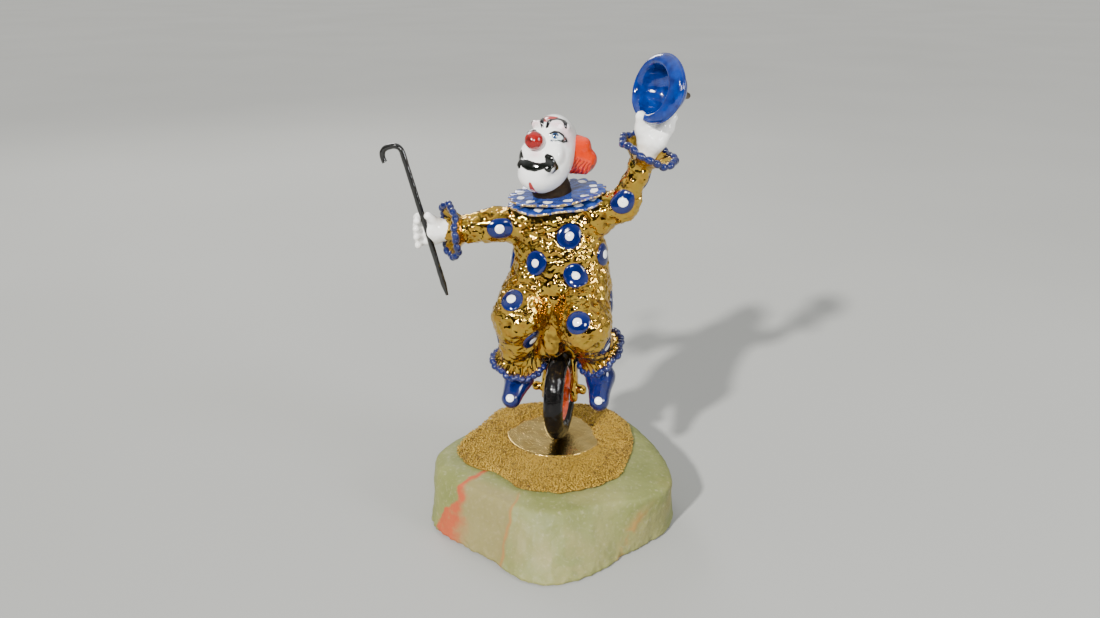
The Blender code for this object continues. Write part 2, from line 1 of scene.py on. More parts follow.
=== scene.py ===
"""Looks of the clown figurine: gold plate, enamel and onyx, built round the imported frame.

Lengths are millimetres until a mesh is made. Axes are the frame's: +Z up, and the clown faces -Y.
"""

import math

import bmesh
import bpy
import numpy as np
from mathutils import Euler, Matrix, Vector, noise


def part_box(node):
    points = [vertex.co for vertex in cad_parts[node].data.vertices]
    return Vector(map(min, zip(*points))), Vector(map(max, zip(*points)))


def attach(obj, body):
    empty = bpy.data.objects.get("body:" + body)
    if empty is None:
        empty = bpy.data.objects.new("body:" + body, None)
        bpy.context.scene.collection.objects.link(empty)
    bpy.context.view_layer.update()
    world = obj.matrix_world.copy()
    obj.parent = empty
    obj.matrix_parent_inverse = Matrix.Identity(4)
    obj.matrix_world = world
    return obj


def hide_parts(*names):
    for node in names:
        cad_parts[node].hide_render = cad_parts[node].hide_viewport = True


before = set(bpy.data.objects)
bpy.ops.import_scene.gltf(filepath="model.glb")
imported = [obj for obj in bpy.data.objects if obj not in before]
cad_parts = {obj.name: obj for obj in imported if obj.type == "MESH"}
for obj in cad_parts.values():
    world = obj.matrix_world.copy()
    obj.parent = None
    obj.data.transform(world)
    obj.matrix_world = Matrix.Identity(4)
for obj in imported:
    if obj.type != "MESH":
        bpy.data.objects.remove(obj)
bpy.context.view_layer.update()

MM = 0.001

# The photograph's camera
CAMERA_PLACE = (0.0706, -0.3599, 0.2390)
CAMERA_PITCH = 21.06
CAMERA_TURN = 11.5
CAMERA_LENS = 30.0


def corners(node):
    """The lowest and highest corner of a CAD node, in millimetres."""
    low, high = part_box(node)
    return np.array(low) / MM, np.array(high) / MM


WHEEL_LOW, WHEEL_HIGH = corners("unicycle_wheel")
DISC_LOW, DISC_HIGH = corners("ground_disc")
STONE_TOP = corners("onyx_base")[1][2]
SAND_LEVEL = corners("gold_granules")[1][2] - 0.5
HUB = (WHEEL_LOW + WHEEL_HIGH) / 2
TYRE_RADIUS = (WHEEL_HIGH[2] - WHEEL_LOW[2]) / 2
TYRE_SECTION = (WHEEL_HIGH[0] - WHEEL_LOW[0]) / 2
DISC_CENTRE = (DISC_LOW + DISC_HIGH) / 2
DISC_RADIUS = (DISC_HIGH[0] - DISC_LOW[0]) / 2
SEAT = np.array((0, HUB[1], HUB[2] + TYRE_RADIUS + 3.0))

# The clown's pose, in millimetres from the seat
HEAD_CENTRE = (-5.3, -2.4, 85.9)
HEAD_TURN = Euler([math.radians(angle) for angle in (-32, 0, -10)], "XYZ")
NECK = (-1.4, -1, 69.2)
COLLAR_TURN = Euler([math.radians(angle) for angle in (5, -6, 0)], "XYZ")
SHOULDERS = ((-15, -1, 56), (15.5, -1, 61))
ELBOWS = ((-29, -3, 54.2), (26.8, -2, 66.3))
WRISTS = ((-45.0, -5.0, 51.8), (35.4, -4.5, 87.2))
CUFF_AXES = ((-0.84, -0.54, -0.03), (0.42, -0.10, 0.90))
HIPS = ((-10.5, -3, 21), (10.5, -3, 21))
KNEES = ((-14.5, -20, 20), (14.6, -22, 18.5))
ANKLES = ((-16.4, -11, -2.6), (16.7, -4, 1.0))
ANKLE_AXES = ((-0.20, 0.22, -0.95), (0.56, 0.50, -0.66))
HAT_CENTRE = (38.3, -11.4, 115.0)
HAT_AXIS = (0.715, 0.648, -0.253)
CANE_GRIP = (-57.5, -9.0, 55.0)
CANE_LEAN = (-0.262, 0.0, 0.965)

# The arms' radii at the shoulder, the elbow and the wrist
ARM_RADII = ((8.2, 8.4), (6.3, 5.7), (4.7, 3.7))

# The body's height, Y, half width and half depth
BODY_ROWS = (
    (5, -1, 5, 5),
    (9, -1, 11, 10),
    (13, -1, 17, 13),
    (20, -1, 20.8, 15.5),
    (29, -1.5, 21.8, 16.5),
    (38, -1.5, 21.0, 16),
    (47, -1, 19.6, 14.5),
    (55, -1, 16.5, 12),
    (62, -1, 11.5, 9.5),
    (68, -1, 6, 6),
)


def seat(place):
    """A place given from the clown's seat."""
    return SEAT + np.array(place, float)


def unit(direction):
    direction = np.array(direction, float)
    return direction / np.linalg.norm(direction)


def basis(axis):
    """Three perpendicular directions as columns, the last along axis."""
    up = unit(axis)
    helper = np.array((0, 0, 1.0)) if abs(up[2]) < 0.9 else np.array((0, 1.0, 0))
    side = unit(np.cross(helper, up))
    return np.column_stack((side, np.cross(up, side), up))


def smoothstep(low, high, values):
    share = np.clip((np.asarray(values) - low) / (high - low), 0, 1)
    return share * share * (3 - 2 * share)


# Forms: each gives the distance of points from a surface, negative inside


def ball(centre, radii, turn=None):
    """An ellipsoid."""
    centre = np.array(centre, float)
    radii = np.array(radii, float)
    matrix = np.eye(3) if turn is None else np.array(turn.to_matrix())

    def distance(points):
        local = (points - centre) @ matrix
        near = np.linalg.norm(local / radii, axis=1)
        slope = np.linalg.norm(local / radii**2, axis=1)
        return near * (near - 1) / np.maximum(slope, 1e-6)

    return distance


def limb(start, end, start_radius, end_radius):
    """A round-ended bar that tapers."""
    start = np.array(start, float)
    along = np.array(end, float) - start

    def distance(points):
        share = np.clip((points - start) @ along / along.dot(along), 0, 1)
        radius = start_radius + (end_radius - start_radius) * share
        return np.linalg.norm(points - start - share[:, None] * along, axis=1) - radius

    return distance


def column(rows, base):
    """An upright oval column through rows of height, Y, half width and half depth."""
    heights, middles, widths, depths = np.array(rows, float).T

    def distance(points):
        local = points - base
        z = local[:, 2]
        width = np.interp(z, heights, widths)
        depth = np.interp(z, heights, depths)
        x = local[:, 0] / width
        y = (local[:, 1] - np.interp(z, heights, middles)) / depth
        side = (np.hypot(x, y) - 1) * np.minimum(width, depth)
        return np.maximum(side, np.maximum(heights[0] - z, z - heights[-1]))

    return distance


def merged(soft, *forms):
    """Forms run together, with a fillet about soft wide where they meet."""

    def distance(points):
        total = forms[0](points)
        for form in forms[1:]:
            other = form(points)
            overlap = np.maximum(soft - np.abs(total - other), 0) / soft
            total = np.minimum(total, other) - overlap**2 * soft / 4
        return total

    return distance


def slope_of(form, points, step=0.05):
    """The direction in which a form's distance grows."""
    slope = np.empty_like(points)
    for axis in range(3):
        offset = np.zeros(3)
        offset[axis] = step
        slope[:, axis] = form(points + offset) - form(points - offset)
    return slope / np.maximum(np.linalg.norm(slope, axis=1, keepdims=True), 1e-9)


def raised(form, points, rise):
    """Points moved outward from a form's surface."""
    return points + slope_of(form, points) * rise[:, None]


def settle(points, form, steps=3, most=1.0):
    """Moves points on to a form's surface."""
    for _ in range(steps):
        points = points - slope_of(form, points) * np.clip(form(points), -most, most)[:, None]
    return points


def sampled(form, low, counts, cell):
    """The form's values on a grid, worked out closely only near its surface."""
    rough = (counts - 1) // 4 + 1
    places = [low[axis] + 4 * cell * np.arange(rough[axis]) for axis in range(3)]
    coarse = form(np.stack(np.meshgrid(*places, indexing="ij"), -1).reshape(-1, 3)).reshape(rough)
    nearest = np.full(rough - 1, np.inf)
    for corner in np.ndindex(2, 2, 2):
        part = coarse[tuple(slice(c, size - 1 + c) for c, size in zip(corner, rough))]
        nearest = np.minimum(nearest, np.abs(part))
    blocks = np.argwhere(nearest < 6 * cell)
    grid = coarse[np.ix_(*[(np.arange(size) + 2) // 4 for size in counts])].astype(np.float32)
    near = np.zeros(counts, bool)
    for corner in np.ndindex(5, 5, 5):
        spots = blocks * 4 + corner
        near[spots[:, 0], spots[:, 1], spots[:, 2]] = True
    spots = np.argwhere(near)
    values = [form(low + cell * chunk) for chunk in np.array_split(spots, len(spots) // 300000 + 1)]
    grid[near] = np.concatenate(values)
    return grid


def skin(form, low, high, cell):
    """Points and quads on a form's surface, from a grid of cells that size."""
    low = np.array(low, float)
    counts = np.ceil((np.array(high, float) - low) / (4 * cell)).astype(int) * 4 + 1
    inside = sampled(form, low, counts, cell) < 0
    corner_count = np.zeros(counts - 1, int)
    for corner in np.ndindex(2, 2, 2):
        corner_count += inside[tuple(slice(c, size - 1 + c) for c, size in zip(corner, counts))]
    crossed = (corner_count > 0) & (corner_count < 8)
    index = np.full(counts - 1, -1)
    index[crossed] = np.arange(crossed.sum())
    points = low + cell * (np.argwhere(crossed) + 0.5)
    faces = []
    for axis in range(3):
        ahead = [slice(None)] * 3
        ahead[axis] = slice(1, None)
        behind = [slice(None)] * 3
        behind[axis] = slice(None, -1)
        first = inside[tuple(behind)]
        edges = np.argwhere(first != inside[tuple(ahead)])
        u, v = (axis + 1) % 3, (axis + 2) % 3
        edges = edges[(edges[:, u] > 0) & (edges[:, v] > 0)]
        quads = []
        for back_u, back_v in ((1, 1), (0, 1), (0, 0), (1, 0)):
            cell_at = edges.copy()
            cell_at[:, u] -= back_u
            cell_at[:, v] -= back_v
            quads.append(index[cell_at[:, 0], cell_at[:, 1], cell_at[:, 2]])
        quads = np.column_stack(quads)
        outward = first[edges[:, 0], edges[:, 1], edges[:, 2]]
        faces.append(np.where(outward[:, None], quads, quads[:, ::-1]))
    return settle(points, form, most=cell), np.concatenate(faces)


def grain(points, size, octaves=3, shift=0.0):
    """Smooth noise between about -1 and 1, with features about size across."""
    return np.array([noise.fractal(place, 1.0, 2.0, octaves) for place in (points / size + shift).tolist()])


def dents(points, size, shift=0.0):
    """Rounded hammer marks: 0 in the middle of a mark, rising to about 1 on the ridges between."""
    marks = [noise.voronoi(place)[0] for place in (points / size + shift).tolist()]
    return np.array([1 - min(1.0, 1.6 * (near[1] - near[0])) for near in marks])


# Meshes


def added(name, data):
    """A new object in the scene."""
    obj = bpy.data.objects.new(name, data)
    bpy.context.scene.collection.objects.link(obj)
    return obj


def piece(name, points, faces, material, marks=None, weld=False):
    """Makes a piece of the figurine. marks are numbers kept at its points, which its material reads."""
    mesh = bpy.data.meshes.new(name)
    mesh.from_pydata((np.asarray(points) * MM).tolist(), [], np.asarray(faces).tolist())
    for key, values in (marks or {}).items():
        mesh.attributes.new(key, "FLOAT", "POINT").data.foreach_set("value", np.asarray(values, np.float32))
    if weld:
        shape = bmesh.new()
        shape.from_mesh(mesh)
        bmesh.ops.remove_doubles(shape, verts=shape.verts, dist=0.00002)
        bmesh.ops.recalc_face_normals(shape, faces=shape.faces)
        shape.to_mesh(mesh)
        shape.free()
    mesh.shade_smooth()
    mesh.materials.append(material)
    obj = added(name, mesh)
    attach(obj, "root")
    return obj


def grid_faces(rows, columns, close_rows=False):
    """Quads between the points of a grid whose columns close into a ring."""
    row = np.arange(rows if close_rows else rows - 1)[:, None]
    step = np.arange(columns)[None, :]
    up = (row + 1) % rows
    on = (step + 1) % columns
    quads = np.stack((row * columns + step, row * columns + on, up * columns + on, up * columns + step), -1)
    return quads.reshape(-1, 4)


def turned(profile, steps, closed=False):
    """Angles, radii and heights of a profile turned about Z, as arrays of profile points by steps."""
    profile = np.array(profile, float)
    angles = np.broadcast_to(np.arange(steps) * math.tau / steps, (len(profile), steps))
    radii = np.broadcast_to(profile[:, :1], angles.shape)
    heights = np.broadcast_to(profile[:, 1:], angles.shape)
    return angles, radii.copy(), heights.copy(), grid_faces(len(profile), steps, close_rows=closed)


def placed(angles, radii, heights, centre, frame_of):
    """Turned points put at a centre, with the turning axis along the frame's last column."""
    local = np.stack((radii * np.cos(angles), radii * np.sin(angles), heights), -1).reshape(-1, 3)
    return local @ np.asarray(frame_of).T + np.asarray(centre)


def tube(path, radii, up, sides=12, closed=False):
    """A round rod along a path, with flat ends that are closed by small rings."""
    path = np.asarray(path, float)
    ahead = np.roll(path, -1, 0) - np.roll(path, 1, 0)
    if not closed:
        ahead[0] = path[1] - path[0]
        ahead[-1] = path[-1] - path[-2]
        path = np.concatenate((path[:1], path, path[-1:]))
        ahead = np.concatenate((ahead[:1], ahead, ahead[-1:]))
        radii = np.concatenate(([0.001], np.broadcast_to(radii, len(path) - 2), [0.001]))
    ahead /= np.linalg.norm(ahead, axis=1, keepdims=True)
    side = np.cross(ahead, up)
    side /= np.linalg.norm(side, axis=1, keepdims=True)
    third = np.cross(side, ahead)
    angles = np.arange(sides) * math.tau / sides
    ring = side[:, None] * np.cos(angles)[:, None] + third[:, None] * np.sin(angles)[:, None]
    radii = np.broadcast_to(radii, len(path))
    points = path[:, None] + ring * radii[:, None, None]
    return points.reshape(-1, 3), grid_faces(len(path), sides, close_rows=closed)


def joined(*shapes):
    """Several (points, faces) pairs as one."""
    points, faces, count = [], [], 0
    for some_points, some_faces in shapes:
        points.append(some_points)
        faces.append(np.asarray(some_faces) + count)
        count += len(some_points)
    return np.concatenate(points), np.concatenate(faces)


# Materials

GOLD = (0.60, 0.385, 0.058)
GOLD_SHADE = (0.15, 0.068, 0.014)
BARE_GOLD = (0.90, 0.62, 0.22)
BLUE = (0.0008, 0.0075, 0.085)
DEEP_BLUE = (0.0004, 0.004, 0.050)
SLATE = (0.009, 0.021, 0.105)
PALE_SLATE = (0.03, 0.075, 0.33)
HAT_BLUE = (0.0008, 0.026, 0.205)
WHITE = (0.90, 0.90, 0.875)
CREAM = (0.80, 0.79, 0.74)
FACE_COLOURS = (
    ("lid", (0.83, 0.56, 0.60), 1.6),
    ("eye", (0.55, 0.68, 0.74), 0.35),
    ("iris", (0.003, 0.030, 0.095), 0.16),
    ("red", (0.36, 0.016, 0.012), 0.14),
    ("black", (0.003, 0.003, 0.004), 0.10),
    ("mouth", (0.002, 0.003, 0.002), 0.10),
    # spark is a painted highlight: a pale dot on each iris
    ("spark", (0.75, 0.80, 0.82), 0.10),
)

# The value of a painted mark where nothing is drawn
FAR = 9.0


def maker_of(tree):
    """The function that makes a node tree's nodes."""

    def node(kind, **inputs):
        """A new node. A key such as i2 means the input socket of that number."""
        made = tree.nodes.new("ShaderNode" + kind)
        for key, value in inputs.items():
            if hasattr(made, key):
                setattr(made, key, value)
                continue
            socket = made.inputs[int(key[1:]) if key[1:].isdigit() else key]
            if isinstance(value, bpy.types.NodeSocket):
                tree.links.new(value, socket)
            else:
                socket.default_value = (*value, 1.0) if socket.type == "RGBA" else value
        return made

    return node


def new_material(name, settings):
    """A material, the maker of its nodes and the linker to its shader, whose constants are settings."""
    material = bpy.data.materials.new(name)
    material.use_nodes = True
    tree = material.node_tree
    shader = tree.nodes["Principled BSDF"]
    for socket, value in settings.items():
        shader.inputs[socket].default_value = value

    def link(output, socket):
        tree.links.new(output, shader.inputs[socket])

    return material, maker_of(tree), link


def mixed(node, factor, first, second):
    """A colour between two colours."""
    return node("Mix", data_type="RGBA", i0=factor, i6=first, i7=second).outputs[2]


def ramp(node, value, low, high):
    """A value between 0 and 1 as the input goes from low to high."""
    return node("MapRange", clamp=True, i0=value, i1=low, i2=high).outputs[0]


def worked(node, operation, *values, use_clamp=False):
    """The result of a Math node."""
    inputs = {f"i{index}": value for index, value in enumerate(values)}
    return node("Math", operation=operation, use_clamp=use_clamp, **inputs).outputs[0]


def place_of(node):
    return node("TexCoord").outputs["Object"]


def noise_of(node, scale, detail=4.0, distortion=0.0, place=None):
    """Noise over the object's place, or over another place. scale is features per metre."""
    vector = place_of(node) if place is None else place
    return node("TexNoise", Vector=vector, Scale=scale, Detail=detail, Distortion=distortion).outputs["Fac"]


def mark(node, name):
    return node("Attribute", attribute_name=name).outputs["Fac"]


def finish(node, link, colour, gloss, roughness, bump, strength, depth):
    """Links a colour, a roughness between two values that follows gloss, and bumps that deep in metres."""
    link(colour, "Base Color")
    link(node("MapRange", i0=gloss, i3=roughness[0], i4=roughness[1]).outputs[0], "Roughness")
    link(node("Bump", Height=bump, Strength=strength, Distance=depth).outputs["Normal"], "Normal")


def gold_material(name, tint=GOLD, dark=GOLD_SHADE, rough=0.06):
    """Bright plate over a crumpled casting, brown in its hollows as tarnish and as painted shade."""
    material, node, link = new_material(name, {"Metallic": 1.0})
    warm = (tint[0] * 0.87, tint[1] * 0.70, tint[2] * 0.69)
    colour = mixed(node, ramp(node, noise_of(node, 240, 3.0), 0.45, 0.70), tint, warm)
    # Darker where the hollow mark is high: partly tarnish, partly painted shade in creases and between parts
    colour = mixed(node, ramp(node, mark(node, "hollow"), 0.25, 1.0), colour, dark)
    fine = noise_of(node, 1400, 5.0, 0.4)
    cells = node("TexVoronoi", Vector=place_of(node), Scale=560.0, feature="SMOOTH_F1").outputs["Distance"]
    crinkle = worked(node, "MULTIPLY_ADD", fine, 0.22, cells)
    finish(node, link, colour, fine, (rough * 0.6, rough * 1.6), crinkle, 0.38, 0.0006)
    return material


def enamel_material(name, colour, shade, rough=0.08, ripple=0.12, coat=0.6, specular=0.5):
    """A thick poured enamel: deep colour, slightly uneven, with a wet gloss."""
    settings = {"Coat Weight": coat, "Coat Roughness": 0.05, "Specular IOR Level": specular}
    material, node, link = new_material(name, settings)
    colour = mixed(node, ramp(node, noise_of(node, 330), 0.35, 0.7), colour, shade)
    gloss, waves = noise_of(node, 900, 3.0), noise_of(node, 480, 2.0)
    finish(node, link, colour, gloss, (rough * 0.6, rough * 1.8), waves, ripple, 0.0005)
    return material


def painted_material(name, base, shade, layers, rough=0.10, bare=()):
    """Enamel with painted marks: each layer is (mark, colour, softness), drawn where its mark is below 0.

    Where any of the marks in bare is below 0, the gold under the enamel shows.
    """
    material, node, link = new_material(name, {"Coat Weight": 0.5, "Coat Roughness": 0.06})
    colour = mixed(node, ramp(node, noise_of(node, 300), 0.35, 0.7), base, shade)
    wobble = worked(node, "MULTIPLY_ADD", noise_of(node, 1500, 2.0), 0.16, -0.08)
    for key, tone, softness in layers:
        edge = worked(node, "ADD", mark(node, key), wobble)
        colour = mixed(node, ramp(node, edge, softness, -softness), colour, tone)
    if bare:
        worn = ramp(node, worked(node, "MINIMUM", *[mark(node, key) for key in bare]), 0.1, -0.15)
        colour = mixed(node, worn, colour, BARE_GOLD)
        link(worn, "Metallic")
    gloss, waves = noise_of(node, 900, 3.0), noise_of(node, 520, 2.0)
    finish(node, link, colour, gloss, (rough * 0.7, rough * 1.7), waves, 0.10, 0.0004)
    return material


# The suit


def suit_form():
    """The body with its arms and legs."""
    arms = []
    for shoulder, elbow, wrist, wide, mid, thin in zip(SHOULDERS, ELBOWS, WRISTS, *ARM_RADII):
        shoulder, elbow, wrist = seat(shoulder), seat(elbow), seat(wrist)
        arms.append(limb(shoulder, elbow, wide, mid))
        arms.append(limb(elbow, wrist * 0.7 + elbow * 0.3, mid - 0.1, thin))
        arms.append(limb(wrist * 0.6 + elbow * 0.4, wrist, thin, thin + 0.6))
    legs = []
    for hip, knee, ankle in zip(HIPS, KNEES, ANKLES):
        hip, knee, ankle = seat(hip), seat(knee), seat(ankle)
        legs.append(limb(hip, knee, 11.0, 9.4))
        legs.append(limb(knee, ankle, 9.3, 7.8))
        legs.append(ball(hip * 0.6 + knee * 0.4 + (0, 0, 5), (10.5, 13, 12)))
    return merged(4.0, merged(5.0, column(BODY_ROWS, SEAT), *legs), *arms)


CROTCH = (-1.4, -12, 20.5)

# Enamel dots on the suit: a place near each, its radius and its white middle's radius
DOTS = (
    ((6.9, -16, 55.6), 5.6, 1.75),
    ((-8.0, -17, 43.0), 5.2, 1.6),
    ((9.7, -17, 38.9), 5.5, 1.65),
    ((-15.5, -24, 27.6), 5.5, 1.9),
    ((13.0, -31, 23.8), 5.8, 1.7),
    ((-24.4, -9, 54.8), 5.7, 1.9),
    ((27.3, -9, 68.7), 5.8, 1.9),
    ((21.0, -5, 45.1), 5.0, 1.8),
    ((23.0, -6, 24.3), 5.0, 1.9),
    ((-9.0, -22, 12.0), 5.0, 1.8),
    ((-20.5, -3, 40.5), 5.0, 1.8),
    ((-26.5, -16, 10.0), 5.0, 1.8),
    ((24.5, -18, 8.0), 4.8, 1.8),
    ((-40.0, 2, 51.0), 4.4, 1.6),
    ((38.0, 2, 76.0), 4.6, 1.7),
    ((0.0, 16, 50.0), 5.5, 2.0),
    ((-11.0, 16, 36.0), 5.5, 2.0),
    ((11.0, 16, 34.0), 5.5, 2.0),
    ((0.0, 17, 22.0), 5.5, 2.0),
    ((-15.0, 10, 56.0), 5.0, 1.8),
    ((16.0, 10, 59.0), 5.0, 1.8),
    ((-20.0, 6, 24.0), 5.2, 1.9),
)


def dot_places(form):
    """Each dot's middle on the suit, and the surface's direction there."""
    middles = settle(np.array([seat(place) for place, _, _ in DOTS]), form, steps=12, most=4.0)
    return middles, slope_of(form, middles)


def crumple(points, middles):
    """How far the suit's surface stands out: folds, sags and hammer marks, but flat under the dots."""
    local = points - SEAT
    away = local - CROTCH
    reach = np.linalg.norm(away, axis=1) / 24
    front = smoothstep(6, -6, local[:, 1])
    fan = np.sin(10 * np.arctan2(away[:, 0], away[:, 2] + 2) + 0.9 + grain(points, 14, 2))
    fan = fan * np.clip(reach, 0, 1) * np.exp(1 - 2.2 * reach) * front
    sag = np.sin(0.55 * local[:, 2] + 0.4 * np.abs(local[:, 0]) + 2.2 * grain(points, 13, 2, 3.0))
    rough = grain(points, 4.0, 4, 7.0)
    bent = points + 0.9 * grain(points, 3.2, 2)[:, None]
    marks = dents(bent, 3.6)
    small = dents(bent, 1.9, 9.0)
    height = 0.9 * fan + 0.35 * sag + 0.65 * rough + 0.85 * marks + 0.30 * small - 0.42
    for (_, radius, _), middle in zip(DOTS, middles):
        away = np.linalg.norm(points - middle, axis=1)
        height = height * smoothstep(radius * 0.9, radius + 1.2, away)
    return height


def make_suit(form, middles):
    points, faces = skin(form, seat((-56, -38, -18)), seat((50, 24, 98)), cell=0.53)
    height = crumple(points, middles)
    # The hollow mark: the crumple's low places darker as tarnish and painted shade, and round the crotch
    # darker as painted shade between the legs
    near_crotch = np.linalg.norm((points - SEAT - (-0.5, -13, 14)) / (9, 10, 13), axis=1)
    hollow = smoothstep(0.10, -0.70, height) * 0.9 + smoothstep(1.15, 0.5, near_crotch) * 0.40
    marks = {"hollow": np.clip(hollow, 0, 1)}
    points = raised(form, points, height * 0.85)
    suit = piece("suit", points, faces, gold_material("suit gold"), marks)
    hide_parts("clown")


def make_dots(form, middles, normals):
    """Thick enamel discs laid on the suit, each with a white middle."""
    rings, steps = 16, 48
    angles = np.arange(steps) * math.tau / steps
    shares = np.linspace(0.02, 1.0, rings)
    discs = []
    ink = []
    for (_, radius, white), middle, normal in zip(DOTS, middles, normals):
        wobble = 1 + 0.05 * np.sin(2 * angles + middle[0])
        wobble += 0.02 * np.sin(3 * angles + middle[2])
        radii = radius * shares[:, None] * wobble
        flat = np.stack((radii * np.cos(angles), radii * np.sin(angles)), -1).reshape(-1, 2)
        points = settle(middle + flat @ basis(normal)[:, :2].T, form, steps=3, most=2.0)
        away = np.repeat(radius * shares, steps)
        rise = 0.80 * np.sqrt(np.clip(1 - (away / radius) ** 6, 0, 1)) - 0.15
        rise += 0.28 * np.sqrt(np.clip(1 - (away / white) ** 2, 0, 1))
        rise[-steps:] = -0.5
        discs.append((raised(form, points, rise), grid_faces(rings, steps)))
        ink.append(away - white)
    points, faces = joined(*discs)
    material = painted_material("dot enamel", BLUE, DEEP_BLUE, (("ink", WHITE, 0.10),), rough=0.09)
    piece("suit_dots", points, faces, material, {"ink": np.concatenate(ink)}, weld=True)


# Collar, cuffs and trims


def make_collar():
    """Two scalloped ruffles of thin blue enamel, with white dots and a worn gold edge."""
    steps, scallops, dot_count, inner = 288, 22, 12, 4.0
    oval = np.array(COLLAR_TURN.to_matrix()) @ np.diag((1.0, 0.86, 1.0))
    layers = (("dots", WHITE, 0.10),)
    material = painted_material("collar enamel", SLATE, PALE_SLATE, layers, rough=0.13, bare=("rim", "neck"))
    round_edge = np.linspace(0, math.pi, 7)[1:-1]
    ruffles = ((20.8, -1.5, 0.0, 1.8), (20.0, 0.3, 0.7, 0.5))
    for layer, (radius, lift, shift, droop) in enumerate(ruffles):
        over = np.linspace(inner, radius, 26)
        section = [(r, 0.55) for r in over]
        section += list(zip(radius + 0.55 * np.sin(round_edge), 0.55 * np.cos(round_edge)))
        section += [(r, -0.55) for r in over[::-1]]
        angles, radii, heights, faces = turned(section, steps, closed=True)
        share = np.clip((radii - inner) / (radius - inner), 0, 1.1)
        scallop = np.abs(np.cos(angles * scallops / 2 + shift))
        wave = np.sin(angles * scallops / 4 + shift * 3) + 0.5 * np.sin(angles * 5 + 1.0)
        upper = heights > 0
        radii = radii * (1 - 0.055 * (1 - scallop) * share**2)
        radii = radii * (1 + 0.02 * np.sin(2 * angles + 1.3))
        heights = heights + lift - droop * share**2 + 0.40 * wave * share**1.5 + 0.45 * scallop * share**2
        dots = np.full(angles.shape, FAR)
        for number in range(dot_count):
            middle = (number + 0.35 + 0.5 * layer) * math.tau / dot_count
            turn_away = (angles - middle + math.pi) % math.tau - math.pi
            away = np.hypot(turn_away * radii / 2.1, (radii - radius * 0.80) / 1.6)
            dots = np.minimum(dots, (away - 1) * 1.8)
        points = placed(angles, radii, heights, seat(NECK), oval)
        worn = 0.5 * grain(points, 2.5, 2).reshape(share.shape) + 0.3 * scallop
        rim = (1.02 - share) * (radius - inner) + worn
        marks = {
            "dots": np.where(upper, dots, FAR).ravel(),
            "rim": rim.ravel() - 0.10,
            "neck": (radii - inner - 1.6).ravel(),
        }
        piece(f"collar_{layer + 1}", points, faces, material, marks)


def make_cuff(name, place, axis, size, pleats, depth, beads, gold, blue):
    """A flared gold cuff with pleats and a beaded blue trim along its edge. Its mouth faces along axis."""
    narrow, wide, length = size
    centre = seat(place)
    across = basis(axis)

    def pleat(turn):
        return np.sin(turn * pleats + 0.6 * np.sin(3 * turn))

    def wave(turn):
        return 0.45 * np.sin(turn * beads / 2) + 0.6 * np.sin(turn * 3 + 1)

    outer = [(narrow + (wide - narrow) * s**1.8, (s - 1) * length) for s in np.linspace(0, 1, 16)]
    section = outer + [(wide - 0.2, 0.55), (wide - 0.8, 0.55)] + [(r - 1.0, h) for r, h in outer[::-1]]
    angles, radii, heights, faces = turned(section, 240, closed=True)
    along = np.clip(1 + heights / length, 0, 1)
    radii = radii + depth * pleat(angles) * along**1.5
    points = placed(angles, radii, heights + wave(angles) * along**2, centre, across)
    points = points + 0.22 * grain(points, 1.8, 3)[:, None] * unit(axis)
    # The pleats' inner folds are darker, as tarnish and painted shade
    hollow = np.clip(0.5 - 0.5 * pleat(angles), 0, 1) * along * 0.5
    piece(f"{name}_cuff", points, faces, gold, {"hollow": hollow.ravel()})

    around = np.arange(400) * math.tau / 400
    out = wide + 0.35 + depth * 0.5 * pleat(around)
    rim = np.stack((out * np.cos(around), out * np.sin(around), 0.4 + wave(around)), -1)
    bead = 0.80 + 0.78 * np.abs(np.sin(around * beads * 0.75 + 0.8)) ** 0.7
    points, faces = tube(rim @ across.T + centre, bead, unit(axis), sides=14, closed=True)
    piece(f"{name}_trim", points, faces, blue)


def make_cuffs(gold, blue):
    for name, wrist, axis, narrow in zip(("right_wrist", "left_wrist"), WRISTS, CUFF_AXES, (5.2, 4.4)):
        mouth = np.array(wrist) + 2.2 * unit(axis)
        make_cuff(name, mouth, axis, (narrow, 11.0, 8.0), 9, 0.5, 13, gold, blue)
    for name, ankle, axis in zip(("right_ankle", "left_ankle"), ANKLES, ANKLE_AXES):
        mouth = np.array(ankle) + 2.5 * unit(axis)
        make_cuff(name, mouth, axis, (7.6, 10.8, 8.0), 22, 0.75, 19, gold, blue)


# Head


def at(x, y, z):
    """A place given in the head's own axes, from its centre: across, back, up."""
    return seat(HEAD_CENTRE) + np.array(HEAD_TURN.to_matrix()) @ np.array((x, y, z), float)


def face_place(points):
    """Points in the head's own axes."""
    return (points - seat(HEAD_CENTRE)) @ np.array(HEAD_TURN.to_matrix())


def head_form():
    """The skull with its jaw and chin, and on it the lips, cheeks, eyes and brows."""
    turn = HEAD_TURN
    skull = merged(
        5.0,
        ball(at(1.9, 1.2, 4.6), (9.2, 13.2, 12.4), turn),
        ball(at(0, -1.3, -4.8), (10.4, 11.0, 12.3), turn),
        ball(at(-0.8, -6.6, -12.0), (6.0, 5.3, 4.9), turn),
    )
    features = [
        ball(at(0.6, -10.4, -9.4), (7.6, 2.8, 3.4), turn),
        ball(at(-4.4, -8.2, -2.6), (3.4, 2.9, 3.8), turn),
        ball(at(5.8, -8.4, -3.0), (4.0, 3.2, 4.2), turn),
        ball(at(-3.6, -9.8, 4.0), (2.8, 1.8, 1.9), turn),
        ball(at(6.6, -9.6, 4.0), (2.9, 1.9, 1.9), turn),
        limb(at(-4.6, -8.6, 9.4), at(-0.6, -11.4, 8.6), 1.2, 1.3),
        limb(at(8.4, -6.4, 9.8), at(3.4, -11.2, 9.0), 1.3, 1.4),
    ]
    return merged(2.2, skull, *features)


